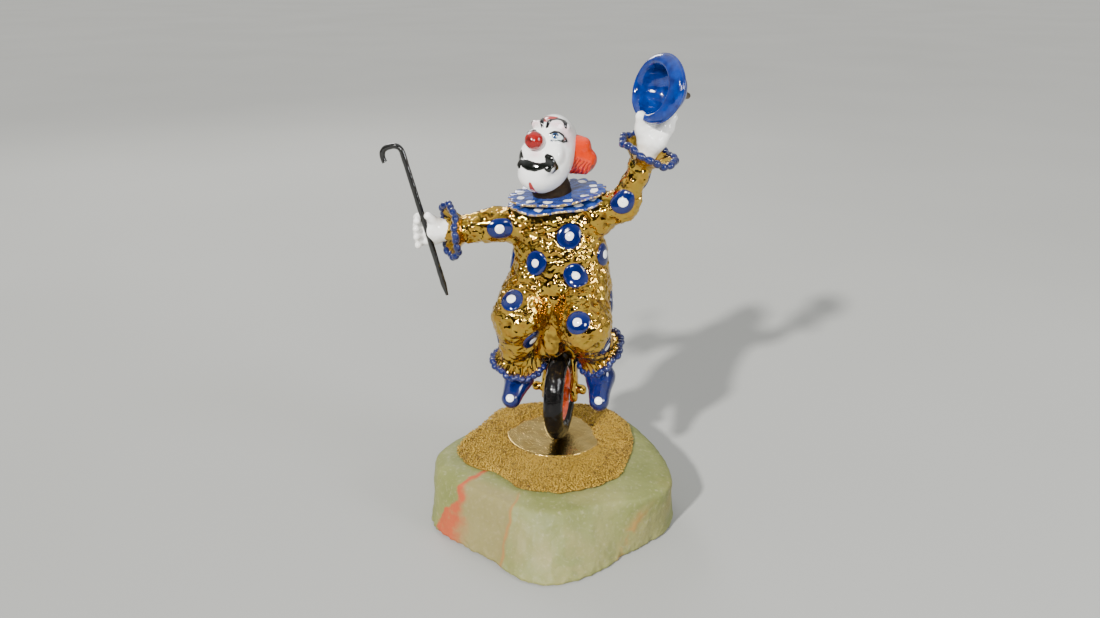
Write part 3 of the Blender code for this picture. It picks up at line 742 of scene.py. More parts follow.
def stroke(u, v, *rows):
    """Distance in the face's plane from a painted stroke through rows of across, up and half width."""
    best = np.full(len(u), 99.0)
    for (*start, wide), (*end, next_wide) in zip(rows, rows[1:]):
        start, along = np.array(start), np.array(end) - start
        share = np.clip(((u - start[0]) * along[0] + (v - start[1]) * along[1]) / along.dot(along), 0, 1)
        away = np.hypot(u - start[0] - share * along[0], v - start[1] - share * along[1])
        best = np.minimum(best, away - (wide + (next_wide - wide) * share))
    return best


def face_paint(points):
    """Painted marks on the face, each as the distance from its edge."""
    local = face_place(points)
    u, v, front = local[:, 0], local[:, 2], local[:, 1] < 1
    paint = {key: np.full(len(u), FAR) for key in ("black", "lid", "iris", "spark", "eye", "mouth", "red")}

    def add(key, distance):
        paint[key] = np.minimum(paint[key], distance)

    for side in (-1, 1):
        across = side * (u - 1.5)
        brow = stroke(
            across, v, (1.0, 6.9, 0.60), (1.4, 8.6, 0.80), (2.1, 10.1, 0.80), (3.6, 11.8, 0.80),
            (5.3, 11.9, 0.80), (6.8, 10.6, 0.72), (7.3, 8.8, 0.40),
        )
        upper = stroke(
            across, v, (2.8, 4.1, 0.44), (4.2, 5.2, 0.60), (6.0, 5.4, 0.58), (7.6, 4.6, 0.50),
            (8.3, 3.6, 0.28),
        )
        lower = stroke(
            across, v, (8.3, 3.5, 0.18), (7.4, 2.3, 0.28), (6.1, 2.1, 0.20), (5.2, 1.7, 0.28),
            (4.4, 1.7, 0.20), (3.6, 1.2, 0.16),
        )
        for line in (brow, upper, lower, np.hypot(across - 5.1, v - 3.9) - 0.50):
            add("black", line)
        add("eye", np.hypot((across - 5.6) / 2.6, (v - 3.4) / 1.5) - 1.0)
        add("iris", np.hypot(across - 5.1, v - 3.7) - 1.30)
        add("iris", np.hypot((across - 4.0) / 1.6, v - 1.5) - 0.40)
        # A painted highlight: a small pale dot on each iris
        add("spark", np.hypot(across - 5.6, v - 3.2) - 0.26)
        add("lid", stroke(
            across, v, (3.0, 8.2, 0.6), (5.0, 8.9, 1.2), (7.0, 8.0, 1.4), (8.2, 5.8, 1.1), (8.7, 3.0, 0.6)
        ))
    add("lid", np.hypot((u - 0.2) / 1.6, v + 5.0) - 0.7)
    add("mouth", stroke(
        u, v, (-4.6, -8.8, 1.3), (-3.0, -9.5, 1.8), (-1.3, -10.2, 1.95), (1.3, -10.6, 1.8),
        (3.6, -10.1, 1.35), (5.4, -9.2, 1.25), (6.6, -8.6, 1.3),
    ))
    add("mouth", stroke(u, v, (5.2, -5.4, 1.20), (6.2, -6.2, 1.75), (6.9, -7.8, 1.85), (6.3, -10.2, 1.35)))
    add("mouth", stroke(
        u, v, (-7.0, -3.4, 0.55), (-7.0, -5.2, 1.35), (-6.5, -7.0, 1.75), (-6.0, -8.8, 1.75),
        (-5.6, -10.6, 0.80),
    ))
    drop = np.maximum(np.abs(u + 0.7) - 0.50 - (-16.2 - v) * 0.42, np.abs(v + 17.6) - 1.5)
    point = np.maximum(np.abs(u - 1.4 - 0.1 * (v - 10)) - 1.1 - (v - 8.9) * 0.50, np.abs(v - 11.0) - 2.1)
    add("red", np.minimum(drop, point))
    return {key: np.where(front, values, FAR) for key, values in paint.items()}


def make_head():
    form = head_form()
    centre = seat(HEAD_CENTRE)
    points, faces = skin(form, centre - 21, centre + 21, cell=0.36)
    marks = face_paint(points)
    lips = smoothstep(0.25, -0.45, marks["mouth"])
    drawn = smoothstep(0.15, -0.2, marks["black"])
    lumps = 0.5 + 0.5 * grain(points, 1.7, 2)
    soft = 0.10 * grain(points, 5.0, 2)
    points = raised(form, points, (0.26 + 0.14 * lumps) * lips + 0.16 * drawn + soft)
    material = painted_material("face enamel", WHITE, (0.84, 0.85, 0.84), FACE_COLOURS, rough=0.10)
    piece("head", points, faces, material, marks)


def make_nose():
    middle = at(-0.6, -14.6, -0.2)
    form = ball(middle, (3.85, 3.8, 3.8))
    points, faces = skin(form, middle - 4.8, middle + 4.8, cell=0.3)
    points = raised(form, points, 0.12 * grain(points, 2.5, 3))
    speck = np.full(len(points), FAR)
    for spot, size in (((-1.6, -2.9, 1.2), 0.42), ((-0.6, -3.4, 0.6), 0.30), ((-2.2, -2.4, 0.5), 0.25)):
        speck = np.minimum(speck, np.linalg.norm(points - middle - np.array(spot), axis=1) - 0.5 - size)
    layers = (("speck", (0.10, 0.005, 0.004), 0.15),)
    red = painted_material("nose enamel", (0.27, 0.002, 0.001), (0.20, 0.001, 0.001), layers, rough=0.16)
    piece("nose", points, faces, red, {"speck": speck})


def make_neck():
    form = limb(seat(NECK) - (0, 0, 4), at(0, 2, -8), 7.6, 8.4)
    points, faces = skin(form, seat(NECK) - 16, seat(NECK) + 26, cell=0.8)
    points = raised(form, points, 0.25 * grain(points, 3, 3))
    # The neck is painted nearly black-brown, as painted shade under the head and collar
    dark = gold_material("neck gold in painted shade", (0.055, 0.040, 0.025), (0.02, 0.015, 0.01), rough=0.6)
    piece("neck", points, faces, dark, {"hollow": np.zeros(len(points))})


def make_hair():
    """A smooth swept-out tuft on each side, with combed strands under its lower edge."""
    # The combed strands' grooves are painted darker orange, as painted shade
    layers = (("groove_shade", (0.32, 0.008, 0.0006), 0.5),)
    orange = painted_material("hair enamel", (0.62, 0.034, 0.0006), (0.54, 0.024, 0.0006), layers, rough=0.14)
    tufts = (
        ("right_hair", -1, 0.8, (
            ((6.0, 2.0, 4.0), (8.6, 3.0, 3.6), 3.4, 2.6),
            ((6.0, 4.0, 0.0), (9.0, 6.0, -1.2), 4.2, 2.4),
        )),
        ("left_hair", 1, 0.0, (
            ((7.0, 3.0, 7.0), (13.2, 4.6, 7.2), 3.8, 2.8),
            ((8.0, 5.0, 3.5), (14.9, 8.8, 2.4), 5.0, 3.7),
            ((8.0, 7.0, -0.5), (13.2, 10.2, -1.2), 4.8, 2.8),
        )),
    )
    for name, side, middle_x, locks in tufts:
        form = merged(4.0, *[
            limb(at(middle_x + side * a[0], a[1], a[2]), at(middle_x + side * b[0], b[1], b[2]), wide, thin)
            for a, b, wide, thin in locks
        ])
        middle = at(side * 11.0, 6.5, 2.5)
        points, faces = skin(form, middle - 15, middle + 15, cell=0.34)
        x, y, z = face_place(points).T
        low = smoothstep(1.2, 0.0, z + 0.20 * (side * x - 12) - 0.10 * (y - 6))
        comb = np.sin(4.0 * (0.6 * side * x + 0.7 * y + 0.9 * grain(points, 4, 2)))
        points = raised(form, points, 0.15 * comb * low - 0.12 * low + 0.08 * grain(points, 3, 2))
        piece(name, points, faces, orange, {"groove_shade": np.where(low > 0.3, comb + 0.15, FAR)})


# Hands, shoes, hat and cane


def make_hands():
    white = enamel_material("glove enamel", WHITE, CREAM, rough=0.12, ripple=0.10)
    palm = seat((-54.0, -6.0, 51.5))
    parts = [ball(palm, (5.0, 3.6, 6.4)), limb(seat(WRISTS[0]), palm, 4.4, 4.8)]
    for number in range(4):
        rise = (number - 1.5) * 3.4
        knuckle = palm + (-7.6 + 0.5 * abs(number - 1.6), -1.6, rise * 1.05 + 0.4)
        parts.append(limb(palm + (-2.5, -0.8, rise + 0.6), knuckle, 1.9, 1.75))
        parts.append(limb(knuckle, knuckle + (0.6, -3.6, -0.6), 1.75, 1.5))
    parts.append(limb(palm + (1.0, -2.0, 4.0), palm + (-1.4, -4.4, 7.4), 2.1, 1.7))
    make_hand("right_hand", merged(1.3, *parts), palm, white)
    rows = (
        (WRISTS[1], (37.6, -5.8, 93.5), 4.2, 5.0),
        ((36.2, -6.0, 94.5), (35.0, -7.0, 98.5), 4.4, 3.6),
        ((39.6, -5.4, 93.8), (42.6, -4.6, 98.6), 4.4, 3.6),
        ((34.2, -7.4, 98.0), (33.6, -10.0, 103.6), 2.9, 2.2),
        ((42.4, -4.4, 99.0), (45.0, -2.0, 102.4), 3.0, 2.3),
        ((40.0, -3.4, 98.0), (41.6, 0.6, 103.4), 2.8, 2.0),
        ((37.0, -3.4, 98.0), (37.4, 0.8, 103.6), 2.8, 2.0),
    )
    parts = [limb(seat(start), seat(end), wide, thin) for start, end, wide, thin in rows]
    make_hand("left_hand", merged(2.2, *parts), seat((38.6, -5.5, 96.0)), white)


def make_hand(name, form, palm, material):
    """A gloved hand from its form, with its palm's middle."""
    points, faces = skin(form, palm - 17, palm + 17, cell=0.36)
    points = raised(form, points, 0.10 * grain(points, 3.0, 3))
    piece(name, points, faces, material)


def make_shoes():
    material = painted_material("shoe enamel", BLUE, DEEP_BLUE, (("spot", WHITE, 0.10),), rough=0.09)
    rows = (
        ("right_shoe", (-18.6, -9.5, -13.6), (-14.6, -9.5, -13.2), (-18.2, -18.5, -19.6), 1.75),
        ("left_shoe", (17.4, -6.0, -12.2), (21.0, -5.5, -11.0), (20.4, -16.5, -18.0), 1.65),
    )
    for ankle, (name, first_heel, second_heel, toe, dot) in zip(ANKLES, rows):
        ankle, toe = seat(ankle), seat(toe)
        heels = seat(first_heel), seat(second_heel)
        middle = heels[0] * 0.5 + toe * 0.5
        sides = [limb(heel, toe, 4.6, 3.7) for heel in heels]
        form = merged(2.5, limb(ankle, (heels[0] + heels[1]) / 2, 5.0, 5.6), *sides)
        points, faces = skin(form, middle - 21, middle + 21, cell=0.42)
        spot_at = settle(np.array([toe + (0.2, -3.4, 1.8)]), form, steps=8)[0]
        spot = np.linalg.norm(points - spot_at, axis=1) - dot
        points = raised(form, points, 0.12 * grain(points, 3.5, 3) + 0.22 * smoothstep(0.2, -0.8, spot))
        piece(name, points, faces, material, {"spot": spot})


HAT_DEPTH = 12.8


def make_hat():
    """A bowler with a flared mouth and a rolled brim, open towards the hand."""
    brim, crown, wall, curl, lip = 14.1, 10.2, 1.0, 2.4, 11.3
    inside = crown - wall
    quarter = np.radians(np.linspace(0, 90, 20))
    back = quarter[:-1][::-1]
    dome = HAT_DEPTH - 3.6
    section = [(max(0.001, crown * math.sin(a)), 3.6 + dome * math.cos(a) ** 0.8) for a in quarter]
    section += [(10.8, 2.7), (11.2, 2.0), (11.9, 1.5), (12.6, 1.8), (13.3, 2.5), (13.75, 3.25)]
    section += [(13.98, 3.42), (brim + 0.12, 3.3), (brim + 0.28, 2.9), (brim + 0.16, 2.45)]
    section += [(lip + (brim - lip) * math.sin(a), curl * (1 - math.cos(a))) for a in quarter[::-1]]
    section += [(inside + (lip - inside) * (1 - math.cos(a)), 3.2 * (1 - math.sin(a))) for a in back]
    hollow = HAT_DEPTH - wall - 3.2
    section += [(max(0.001, inside * math.sin(a)), 3.2 + hollow * math.cos(a) ** 0.8) for a in back]
    angles, radii, heights, faces = turned(section, 160)
    radii = radii * (1 - 0.022 * (1 - np.cos(2 * angles)) * smoothstep(3, 13, radii))
    heights = heights + 0.35 * np.sin(2 * angles + 1.2) * smoothstep(8, 14, radii)
    points = placed(angles, radii, heights, seat(HAT_CENTRE), basis(HAT_AXIS))
    points = points + 0.12 * grain(points, 5, 2)[:, None] * unit(HAT_AXIS)
    sideways = unit(np.array((1.0, 0, 0)) - HAT_AXIS[0] * unit(HAT_AXIS))
    off_centre = 2.3 * np.clip((brim - radii) / (brim - lip), 0, 1) * smoothstep(9, 1, heights)
    points = points - off_centre.reshape(-1, 1) * sideways
    blue = enamel_material("hat enamel", HAT_BLUE, BLUE, rough=0.10, ripple=0.30)
    hat = piece("bowler_hat", points, faces, blue, weld=True)
    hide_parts("hat")


def make_knob():
    """The small knob on the hat's crown."""
    foot, top = (seat(HAT_CENTRE) + unit(HAT_AXIS) * (HAT_DEPTH + past) for past in (0.6, 4.2))
    form = limb(foot, top, 2.2, 1.3)
    points, faces = skin(form, top - 6, top + 4, cell=0.28)
    points = raised(form, points, 0.12 * grain(points, 1.8, 3))
    brown = gold_material("knob gold", (0.16, 0.13, 0.10), (0.04, 0.03, 0.03), rough=0.35)
    piece("hat_knob", points, faces, brown, {"hollow": np.zeros(len(points))})


CANE_LENGTH = 64.0
CANE_RADIUS = 1.22
HOOK_RADIUS = 4.6
HOOK_RISE = 4.0


def make_cane():
    """A stick bent into a hook, slightly knobbly under its black enamel."""
    lean = unit(CANE_LEAN)
    side = np.array((-lean[2], 0, lean[0]))
    tip = seat(CANE_GRIP) - lean * CANE_LENGTH * 0.515
    path = [tip + lean * CANE_LENGTH * share for share in np.linspace(0, 1, 70)[:-1]]
    middle = tip + lean * CANE_LENGTH + side * HOOK_RADIUS
    for a in np.linspace(0, math.pi * 1.13, 44):
        back = HOOK_RADIUS * math.copysign(abs(math.cos(a)) ** 0.75, math.cos(a))
        rise = HOOK_RISE * math.copysign(abs(math.sin(a)) ** 0.85, math.sin(a))
        path.append(middle - side * back + lean * rise)
    path = np.array(path)
    ends = smoothstep(0, 5, np.arange(len(path)))
    radii = CANE_RADIUS * (1 + 0.07 * grain(path, 2.6, 3)) * (0.55 + 0.45 * ends)
    points, faces = tube(path, radii, np.array((0, 1.0, 0)), sides=18)
    points = points + 0.05 * grain(points, 1.2, 2)[:, None] * (1.0, 0, 0)
    tones = (0.004, 0.004, 0.004), (0.009, 0.009, 0.008)
    black = enamel_material("cane enamel", *tones, rough=0.10, ripple=0.3)
    cane = piece("hooked_cane", points, faces, black, weld=True)
    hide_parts("cane")


# Unicycle


WHEEL_AXES = np.column_stack(((0, 1.0, 0), (0, 0, 1.0), (1.0, 0, 0)))
HOOP_RADIUS = TYRE_RADIUS - TYRE_SECTION


def wheel_ring(profile, steps, closed=True):
    """The points and faces of a profile turned about the wheel's axle."""
    angles, radii, heights, faces = turned(profile, steps, closed)
    return placed(angles, radii, heights, HUB, WHEEL_AXES), faces


def make_tyre():
    """A glossy black tyre, slightly lumpy."""
    around = np.linspace(0, math.tau, 40, endpoint=False)
    profile = [(HOOP_RADIUS + TYRE_SECTION * math.cos(a), TYRE_SECTION * math.sin(a)) for a in around]
    points, faces = wheel_ring(profile, 300)
    middles, _ = wheel_ring([(HOOP_RADIUS, 0)] * len(profile), 300)
    points = points + unit_rows(points - middles) * (0.16 * grain(points, 3.2, 3) - 0.16)[:, None]
    tones = (0.003, 0.003, 0.003), (0.007, 0.006, 0.006)
    black = enamel_material("tyre enamel", *tones, rough=0.10, ripple=0.6, coat=0.08, specular=0.22)
    tyre = piece("tyre", points, faces, black)
    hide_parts("unicycle_wheel")


def make_spokes():
    """The orange-red rim, spokes and hub."""
    inner = HOOP_RADIUS - TYRE_SECTION
    spoke_count, path_count = 10, 14
    around = np.linspace(0, math.tau, 20, endpoint=False)
    rim, faces = wheel_ring([(inner - 0.2 + 1.5 * math.cos(a), 2.6 * math.sin(a)) for a in around], 240)
    shapes = [(rim + 0.10 * grain(rim, 1.6, 3)[:, None] * (1.0, 0, 0), faces)]
    waist = 1.05 + 0.5 * np.abs(np.linspace(-1, 1, path_count)) ** 3
    for number in range(spoke_count):
        angle = math.tau * (number + 0.5) / spoke_count
        out = np.array((0, math.cos(angle), math.sin(angle)))
        path = HUB + np.linspace(2.4, inner - 0.4, path_count)[:, None] * out
        shapes.append(tube(path, waist, np.array((1.0, 0, 0)), sides=12))
    half = [(0.001, 4.3), (2.0, 4.3), (3.0, 4.0), (3.4, 3.2), (3.1, 1.6)]
    shapes.append(wheel_ring(half + [(radius, -height) for radius, height in half[::-1]], 48, closed=False))
    points, faces = joined(*shapes)
    orange = enamel_material("rim enamel", (0.62, 0.075, 0.012), (0.38, 0.03, 0.01), rough=0.16, ripple=0.3)
    piece("wheel_spokes", points, faces, orange, weld=True)


def unit_rows(rows):
    return rows / np.maximum(np.linalg.norm(rows, axis=1, keepdims=True), 1e-9)


def make_frame(gold):
    """The fork, its pegs and the saddle with its apron, all one casting, clear of the tyre."""
    side = TYRE_SECTION + 1.9
    top = HUB[2] + TYRE_RADIUS + 1.9
    parts = []
    for sign in (-1, 1):
        for along in (-2.0, 0.0, 2.0):
            foot = HUB + (sign * side, along * 0.6, -1.0)
            parts.append(limb(foot, (sign * side, HUB[1] + along, top), 1.5, 1.4))
        parts.append(ball(HUB + (sign * side, 0, 0), (1.8, 3.2, 3.2)))
        peg = HUB + (sign * (side + 4.0), -0.8, 3.4)
        parts.append(limb(HUB + (sign * side, 0, 2.5), peg, 1.4, 1.7))
        parts.append(ball(peg, (2.1, 2.5, 1.9)))
    parts.append(limb((-side, HUB[1], top), (side, HUB[1], top), 1.4, 1.4))
    saddle = merged(
        3.0,
        ball((0, HUB[1] + 1.5, top + 3.0), (7.2, 7.5, 3.0)),
        ball((0, HUB[1] - 4.5, top + 2.8), (4.2, 6.2, 2.4)),
        limb(seat((-1.2, -9.0, 16)), seat((-2.2, -10.0, 3)), 6.4, 5.4),
        limb(seat((-4.0, -9.0, 9)), seat((-8.2, -9.5, -4.5)), 4.4, 3.2),
        limb(seat((4.0, -7.0, 10)), seat((6.6, -5.0, -2)), 4.0, 2.6),
    )
    whole = merged(1.6, saddle, *parts)

    def tyre_parts(places):
        """Distances from the tyre's middle line in its plane, from the tyre, and from its middle plane."""
        away = places - HUB
        hoop = np.hypot(away[:, 1], away[:, 2]) - HOOP_RADIUS
        return hoop, np.hypot(hoop, away[:, 0]) - TYRE_SECTION, np.abs(away[:, 0])

    def form(places):
        hoop, tyre, off_plane = tyre_parts(places)
        inner = np.maximum(off_plane - TYRE_SECTION - 0.2, hoop)
        return np.maximum(whole(places), -np.minimum(tyre - 0.35, inner))

    points, faces = skin(form, HUB + (-17, -24, -8), HUB + (17, 14, 48), cell=0.50)
    folds = np.sin(1.1 * points[:, 0] + 0.5 * points[:, 2] + 2.0 * grain(points, 9, 2))
    off_tyre = smoothstep(0.1, 1.2, tyre_parts(points)[1])
    points = raised(form, points, (0.16 * grain(points, 2.6, 3) + 0.22 * folds - 0.1) * off_tyre)
    # The hollow mark: random darker patches, and the apron up under the body darker as painted shade between
    # the legs
    apron = smoothstep(-3, 2, points[:, 2] - SEAT[2])
    hollow = np.clip(smoothstep(0.1, -0.6, grain(points, 3.0, 3, 2.0)) * 0.5 + 0.25 * apron, 0, 1)
    fork = piece("fork_and_saddle", points, faces, gold, {"hollow": hollow})
    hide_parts("unicycle_frame")


# Base

STONE_STEPS = 600
GRAIN_COUNT = 9800

# The stone's outline at its foot and at its rim, and the outline of the gold bed on top
STONE_FOOT = (
    (54, -5), (50.4, -15.2), (36.7, -32.8), (27.6, -47.1), (18.4, -56.0), (11.1, -59.3), (4.2, -60.6),
    (-0.5, -59.6), (-7.3, -56.4), (-13.5, -50), (-22.4, -46.2), (-31.9, -40.9), (-41.7, -35.5),
    (-49.4, -29.8), (-52.6, -21.7), (-55.6, -8), (-54.5, 5), (-43.6, 25.2), (-26, 44), (0, 53.5),
    (26, 44), (43.6, 25.2), (53.5, 4),
)
STONE_RIM = (
    (54.4, -12.5), (50, -21.5), (41, -28.5), (27, -32), (10, -40.6), (-7.5, -41), (-25, -34), (-37, -30),
    (-49, -22.5), (-53.8, -9), (-48.4, 5.3), (-34, 31.3), (-5, 47), (24.1, 45), (37.9, 27.5), (48.9, 8),
)
BED_EDGE = (
    (-44, -9), (-34.5, -22.4), (-24.5, -24.8), (-7.1, -38.2), (9.3, -37.2), (24.7, -28.5), (31.6, -16.5),
    (33.3, 4.9), (33.1, 14.3), (26.3, 27.7), (14.1, 39), (-12, 37), (-32.2, 29.4), (-42.4, 6.7),
)
# Where the rusty stain begins on the stone's left face: height, then direction in degrees
STAIN_EDGE = (
    (0, 214), (5, 213.5), (8.4, 213.5), (13.5, 217.5), (20, 222), (23.6, 219.5), (27, 220.5), (30, 218),
)
STAIN_RIDGE = 257.0
# A tan streak on the right face: height, then direction in degrees
STREAK_LINE = ((0, 313.5), (7, 318.5), (16.4, 326), (23, 331), (27, 336))


def reach_of(outline, angles):
    """How far an outline is from the middle in each direction, with its corners slightly rounded."""
    starts = np.array(outline, float)
    sides = np.roll(starts, -1, axis=0) - starts
    total = 0
    for offset, weight in ((-0.07, 0.2), (-0.03, 0.2), (0, 0.2), (0.03, 0.2), (0.07, 0.2)):
        turn = (np.asarray(angles) + offset)[..., None]
        ways = np.cos(turn), np.sin(turn)
        across = ways[0] * sides[:, 1] - ways[1] * sides[:, 0]
        across = np.where(np.abs(across) < 1e-9, 1e-9, across)
        reach = (starts[:, 0] * sides[:, 1] - starts[:, 1] * sides[:, 0]) / across
        share = (starts[:, 0] * ways[1] - starts[:, 1] * ways[0]) / across
        hit = (share >= -1e-6) & (share <= 1 + 1e-6) & (reach > 0)
        total = total + weight * np.where(hit, reach, 0).max(axis=-1)
    return total


def make_stone():
    """Rough onyx: broken faces, a ridge in front, worn edges and chips along its foot."""
    worn = 6.5
    rounding = np.radians(np.linspace(6, 90, 16))
    section = [(0.02, 0.004), (0.97, 0.004), (0.985, 0.012), (0.994, 0.03)]
    section += [(1.0, share) for share in np.linspace(0.06, 1 - worn / STONE_TOP, 48)]
    section += [
        (1 - worn / 52 * (1 - math.cos(a)), 1 - worn / STONE_TOP * (1 - math.sin(a))) for a in rounding
    ]
    section += [(share, 1.0) for share in np.linspace(0.865, 0.02, 54)]
    angles, reach, rise, faces = turned(section, STONE_STEPS)
    foot, rim = reach_of(STONE_FOOT, angles[:1]), reach_of(STONE_RIM, angles[:1])
    radii = (foot + (rim - foot) * np.clip(rise, 0, 1)) * reach
    points = placed(angles, radii, rise * STONE_TOP, (0, 0, 0), np.eye(3))
    angles, reach, rise = angles.ravel(), reach.ravel(), rise.ravel()
    out = np.stack((np.cos(angles), np.sin(angles), 0 * angles), -1)
    side = smoothstep(0.84, 0.95, reach) * smoothstep(0.0, 0.03, rise)

    bent = points * (1, 1, 0.75) + 2.5 * grain(points, 15, 2)[:, None]
    broken = dents(bent, 14.0) + 0.5 * dents(bent, 7.0, 3.0)
    flutes = grain(points * (1, 1, 0.35), 4.0, 3, 2.0)
    rough = 0.6 * (broken - broken.mean()) + 0.22 * flutes + 0.10 * grain(points, 1.6, 3)
    chips = (dents(points, 5.0, 4.0) - 0.45) * smoothstep(0.22, 0.0, rise)
    off_ridge = (np.degrees(angles) % 360 - STAIN_RIDGE) * math.radians(1) * 48
    ridge = np.exp(-(off_ridge / 2.2) ** 2) * smoothstep(1.0, 0.6, rise)
    points = points + out * ((0.85 * rough + chips + 0.9 * ridge + 0.5) * side)[:, None]

    front_side = smoothstep(-0.2, 0.8, np.cos(angles + 1.2))
    fall = smoothstep(0.66, 0.95, reach) * (0.3 + 1.5 * front_side)
    points[:, 2] += smoothstep(0.84, 1.0, rise) * (0.25 * grain(points, 6, 3) - 0.30 - fall)
    points[:, 2] = np.maximum(points[:, 2], 0.12)
    marks = stone_marks(points, reach, off_ridge, side)
    stone = piece("onyx_stone", points, faces, onyx_material(), marks, weld=True)
    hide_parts("onyx_base")


def stone_marks(points, reach, off_ridge, side):
    """The stone's coloured marks, each from 0 to 1: two stains, a crack and a streak."""
    height = points[:, 2]
    turn = np.degrees(np.arctan2(points[:, 1], points[:, 0])) % 360
    edge = np.interp(height, *zip(*STAIN_EDGE)) + 1.6 * grain(points, 3.5, 3)
    past = (turn - edge) * math.radians(1) * 50
    spread = np.interp(height, (0, 10, 14, 17, 24, 27), (19.0, 18.0, 10.0, 7.0, 6.0, 3.5))
    stain = smoothstep(-0.5, 0.9, past) * smoothstep(spread, 0.2 * spread, past)
    pink = smoothstep(-1, 2, past) * smoothstep(1.0, -1.5, off_ridge)
    crack = np.exp(-((off_ridge + 0.8 + 1.2 * grain(points, 7, 2)) / 0.7) ** 2)
    off_streak = (turn - np.interp(height, *zip(*STREAK_LINE))) * 0.85 + 1.2 * grain(points, 4, 3)
    streak = np.exp(-(off_streak / 2.4) ** 2) * smoothstep(26, 15, height)
    streak = streak * smoothstep(-0.5, 0.25, grain(points, 5, 3, 6.0))
    stain = stain * smoothstep(0.60, 0.72, reach)
    return {"stain": stain, "pink": pink * side, "crack": crack * side, "streak": streak * side}


# Streaky tan patches on the stone, in metres: middle, size, colour and strength
STONE_PATCHES = (
    ((0.0520, -0.010, 0.020), 0.009, (0.27, 0.20, 0.065), 0.55),
    ((0.0130, -0.052, 0.008), 0.013, (0.30, 0.24, 0.11), 0.7),
    ((-0.010, -0.050, 0.012), 0.010, (0.24, 0.20, 0.09), 0.6),
    ((0.0, 0.050, 0.016), 0.015, (0.24, 0.15, 0.06), 0.5),
)


def onyx_material():
    """Pale green onyx: milky and slightly clear, with cloudy bands, tan streaks and rusty stains."""
    clear = {"Subsurface Weight": 0.20, "Subsurface Radius": (0.006, 0.006, 0.003), "Subsurface Scale": 1.0}
    material, node, link = new_material("onyx", {"Specular IOR Level": 0.22, **clear})
    place = place_of(node)
    sway = node("VectorMath", operation="MULTIPLY_ADD", i0=noise_of(node, 34, 3.0), i2=place)
    sway.inputs[1].default_value = (0.022, 0.022, 0.022)
    bent = sway.outputs[0]
    leaning = node("VectorMath", operation="MULTIPLY", i0=bent, i1=(1.0, 1.0, 0.4)).outputs[0]
    bands = ramp(node, noise_of(node, 42, 5.0, place=bent), 0.36, 0.66)
    milky = ramp(node, noise_of(node, 21, 3.0, 0.6, bent), 0.54, 0.74)
    grainy = ramp(node, noise_of(node, 640, 5.0, 0.2), 0.55, 0.80)
    streaks = ramp(node, noise_of(node, 95, 4.0, place=leaning), 0.42, 0.60)
    flecks = ramp(node, noise_of(node, 210, 5.0, 0.3), 0.12, 0.52)
    colour = mixed(node, bands, (0.140, 0.155, 0.046), (0.185, 0.195, 0.070))
    colour = mixed(node, milky, colour, (0.235, 0.215, 0.085))
    colour = mixed(node, grainy, colour, (0.26, 0.25, 0.13))
    for centre, size, tone, strength in STONE_PATCHES:
        apart = node("VectorMath", operation="DISTANCE", i0=place, i1=centre).outputs["Value"]
        near = worked(node, "MULTIPLY", ramp(node, apart, size * 1.3, size * 0.2), streaks)
        colour = mixed(node, worked(node, "MULTIPLY", near, strength), colour, tone)
    rust = worked(node, "MULTIPLY", mark(node, "stain"), flecks)
    for cover, tone in (
        (worked(node, "MULTIPLY", mark(node, "pink"), 0.55), (0.225, 0.170, 0.075)),
        (worked(node, "MULTIPLY", rust, 1.25, use_clamp=True), (0.34, 0.070, 0.026)),
        (worked(node, "MULTIPLY", mark(node, "streak"), 0.85), (0.29, 0.165, 0.045)),
        (mark(node, "crack"), (0.28, 0.145, 0.045)),
    ):
        colour = mixed(node, cover, colour, tone)
    gloss, pits = noise_of(node, 180, 5.0), noise_of(node, 420, 6.0, 0.3)
    finish(node, link, colour, gloss, (0.36, 0.70), pits, 0.35, 0.0006)
    return material


def bed_reach(angles):
    """The bed's edge: drawn in a little in front, out to the stone's back rim behind."""
    behind = np.sin(angles)
    change = 0.11 * smoothstep(0.3, 0.9, behind) - 0.07 * smoothstep(0.3, 0.9, -behind)
    return reach_of(BED_EDGE, angles) * (1 + change)


def heap(places):
    """How high the sand lies: banked up behind the disc and lapping over its edge."""
    behind = smoothstep(0.2, 0.9, places[..., 1] / np.maximum(np.hypot(places[..., 0], places[..., 1]), 1))
    apart = np.hypot(places[..., 0] - DISC_CENTRE[0], places[..., 1] - DISC_CENTRE[1]) - DISC_RADIUS
    return 2.1 * behind * smoothstep(-7.5, -1.0, apart) * smoothstep(18, 5, apart)


def make_sand():
    """A bed of gold sand on the stone, heaped unevenly round the disc."""
    section = [(0.02, -1.6), (1.0, -1.6)] + [(r, 0.0) for r in np.linspace(1.0, 0.02, 60)]
    angles, reach, heights, faces = turned(section, 320)
    edge = bed_reach(angles) + 0.4 * np.sin(9 * angles) + 0.4 * np.sin(23 * angles + 1)
    points = placed(angles, reach * edge, heights, (0, 0, SAND_LEVEL), np.eye(3))
    bumps = 0.25 * grain(points, 1.3, 3) + 0.3 * grain(points, 9, 2)
    thin = smoothstep(1.0, 0.9, reach.ravel())
    points[:, 2] += np.where(heights.ravel() > -1, bumps + heap(points) - 0.9 * (1 - thin), 0)
    # The bed under the grains is a constant 0.45 towards dark brown, as painted shade in the gaps between
    # grains
    marks = {"tone": np.clip(0.15 + 0.5 * grain(points, 5, 3), 0, 1), "dark": np.full(len(points), 0.45)}
    material = grain_material("gold sand", 0.55)
    bed = piece("sand_bed", points, faces, material, marks, weld=True)
    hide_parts("gold_granules")


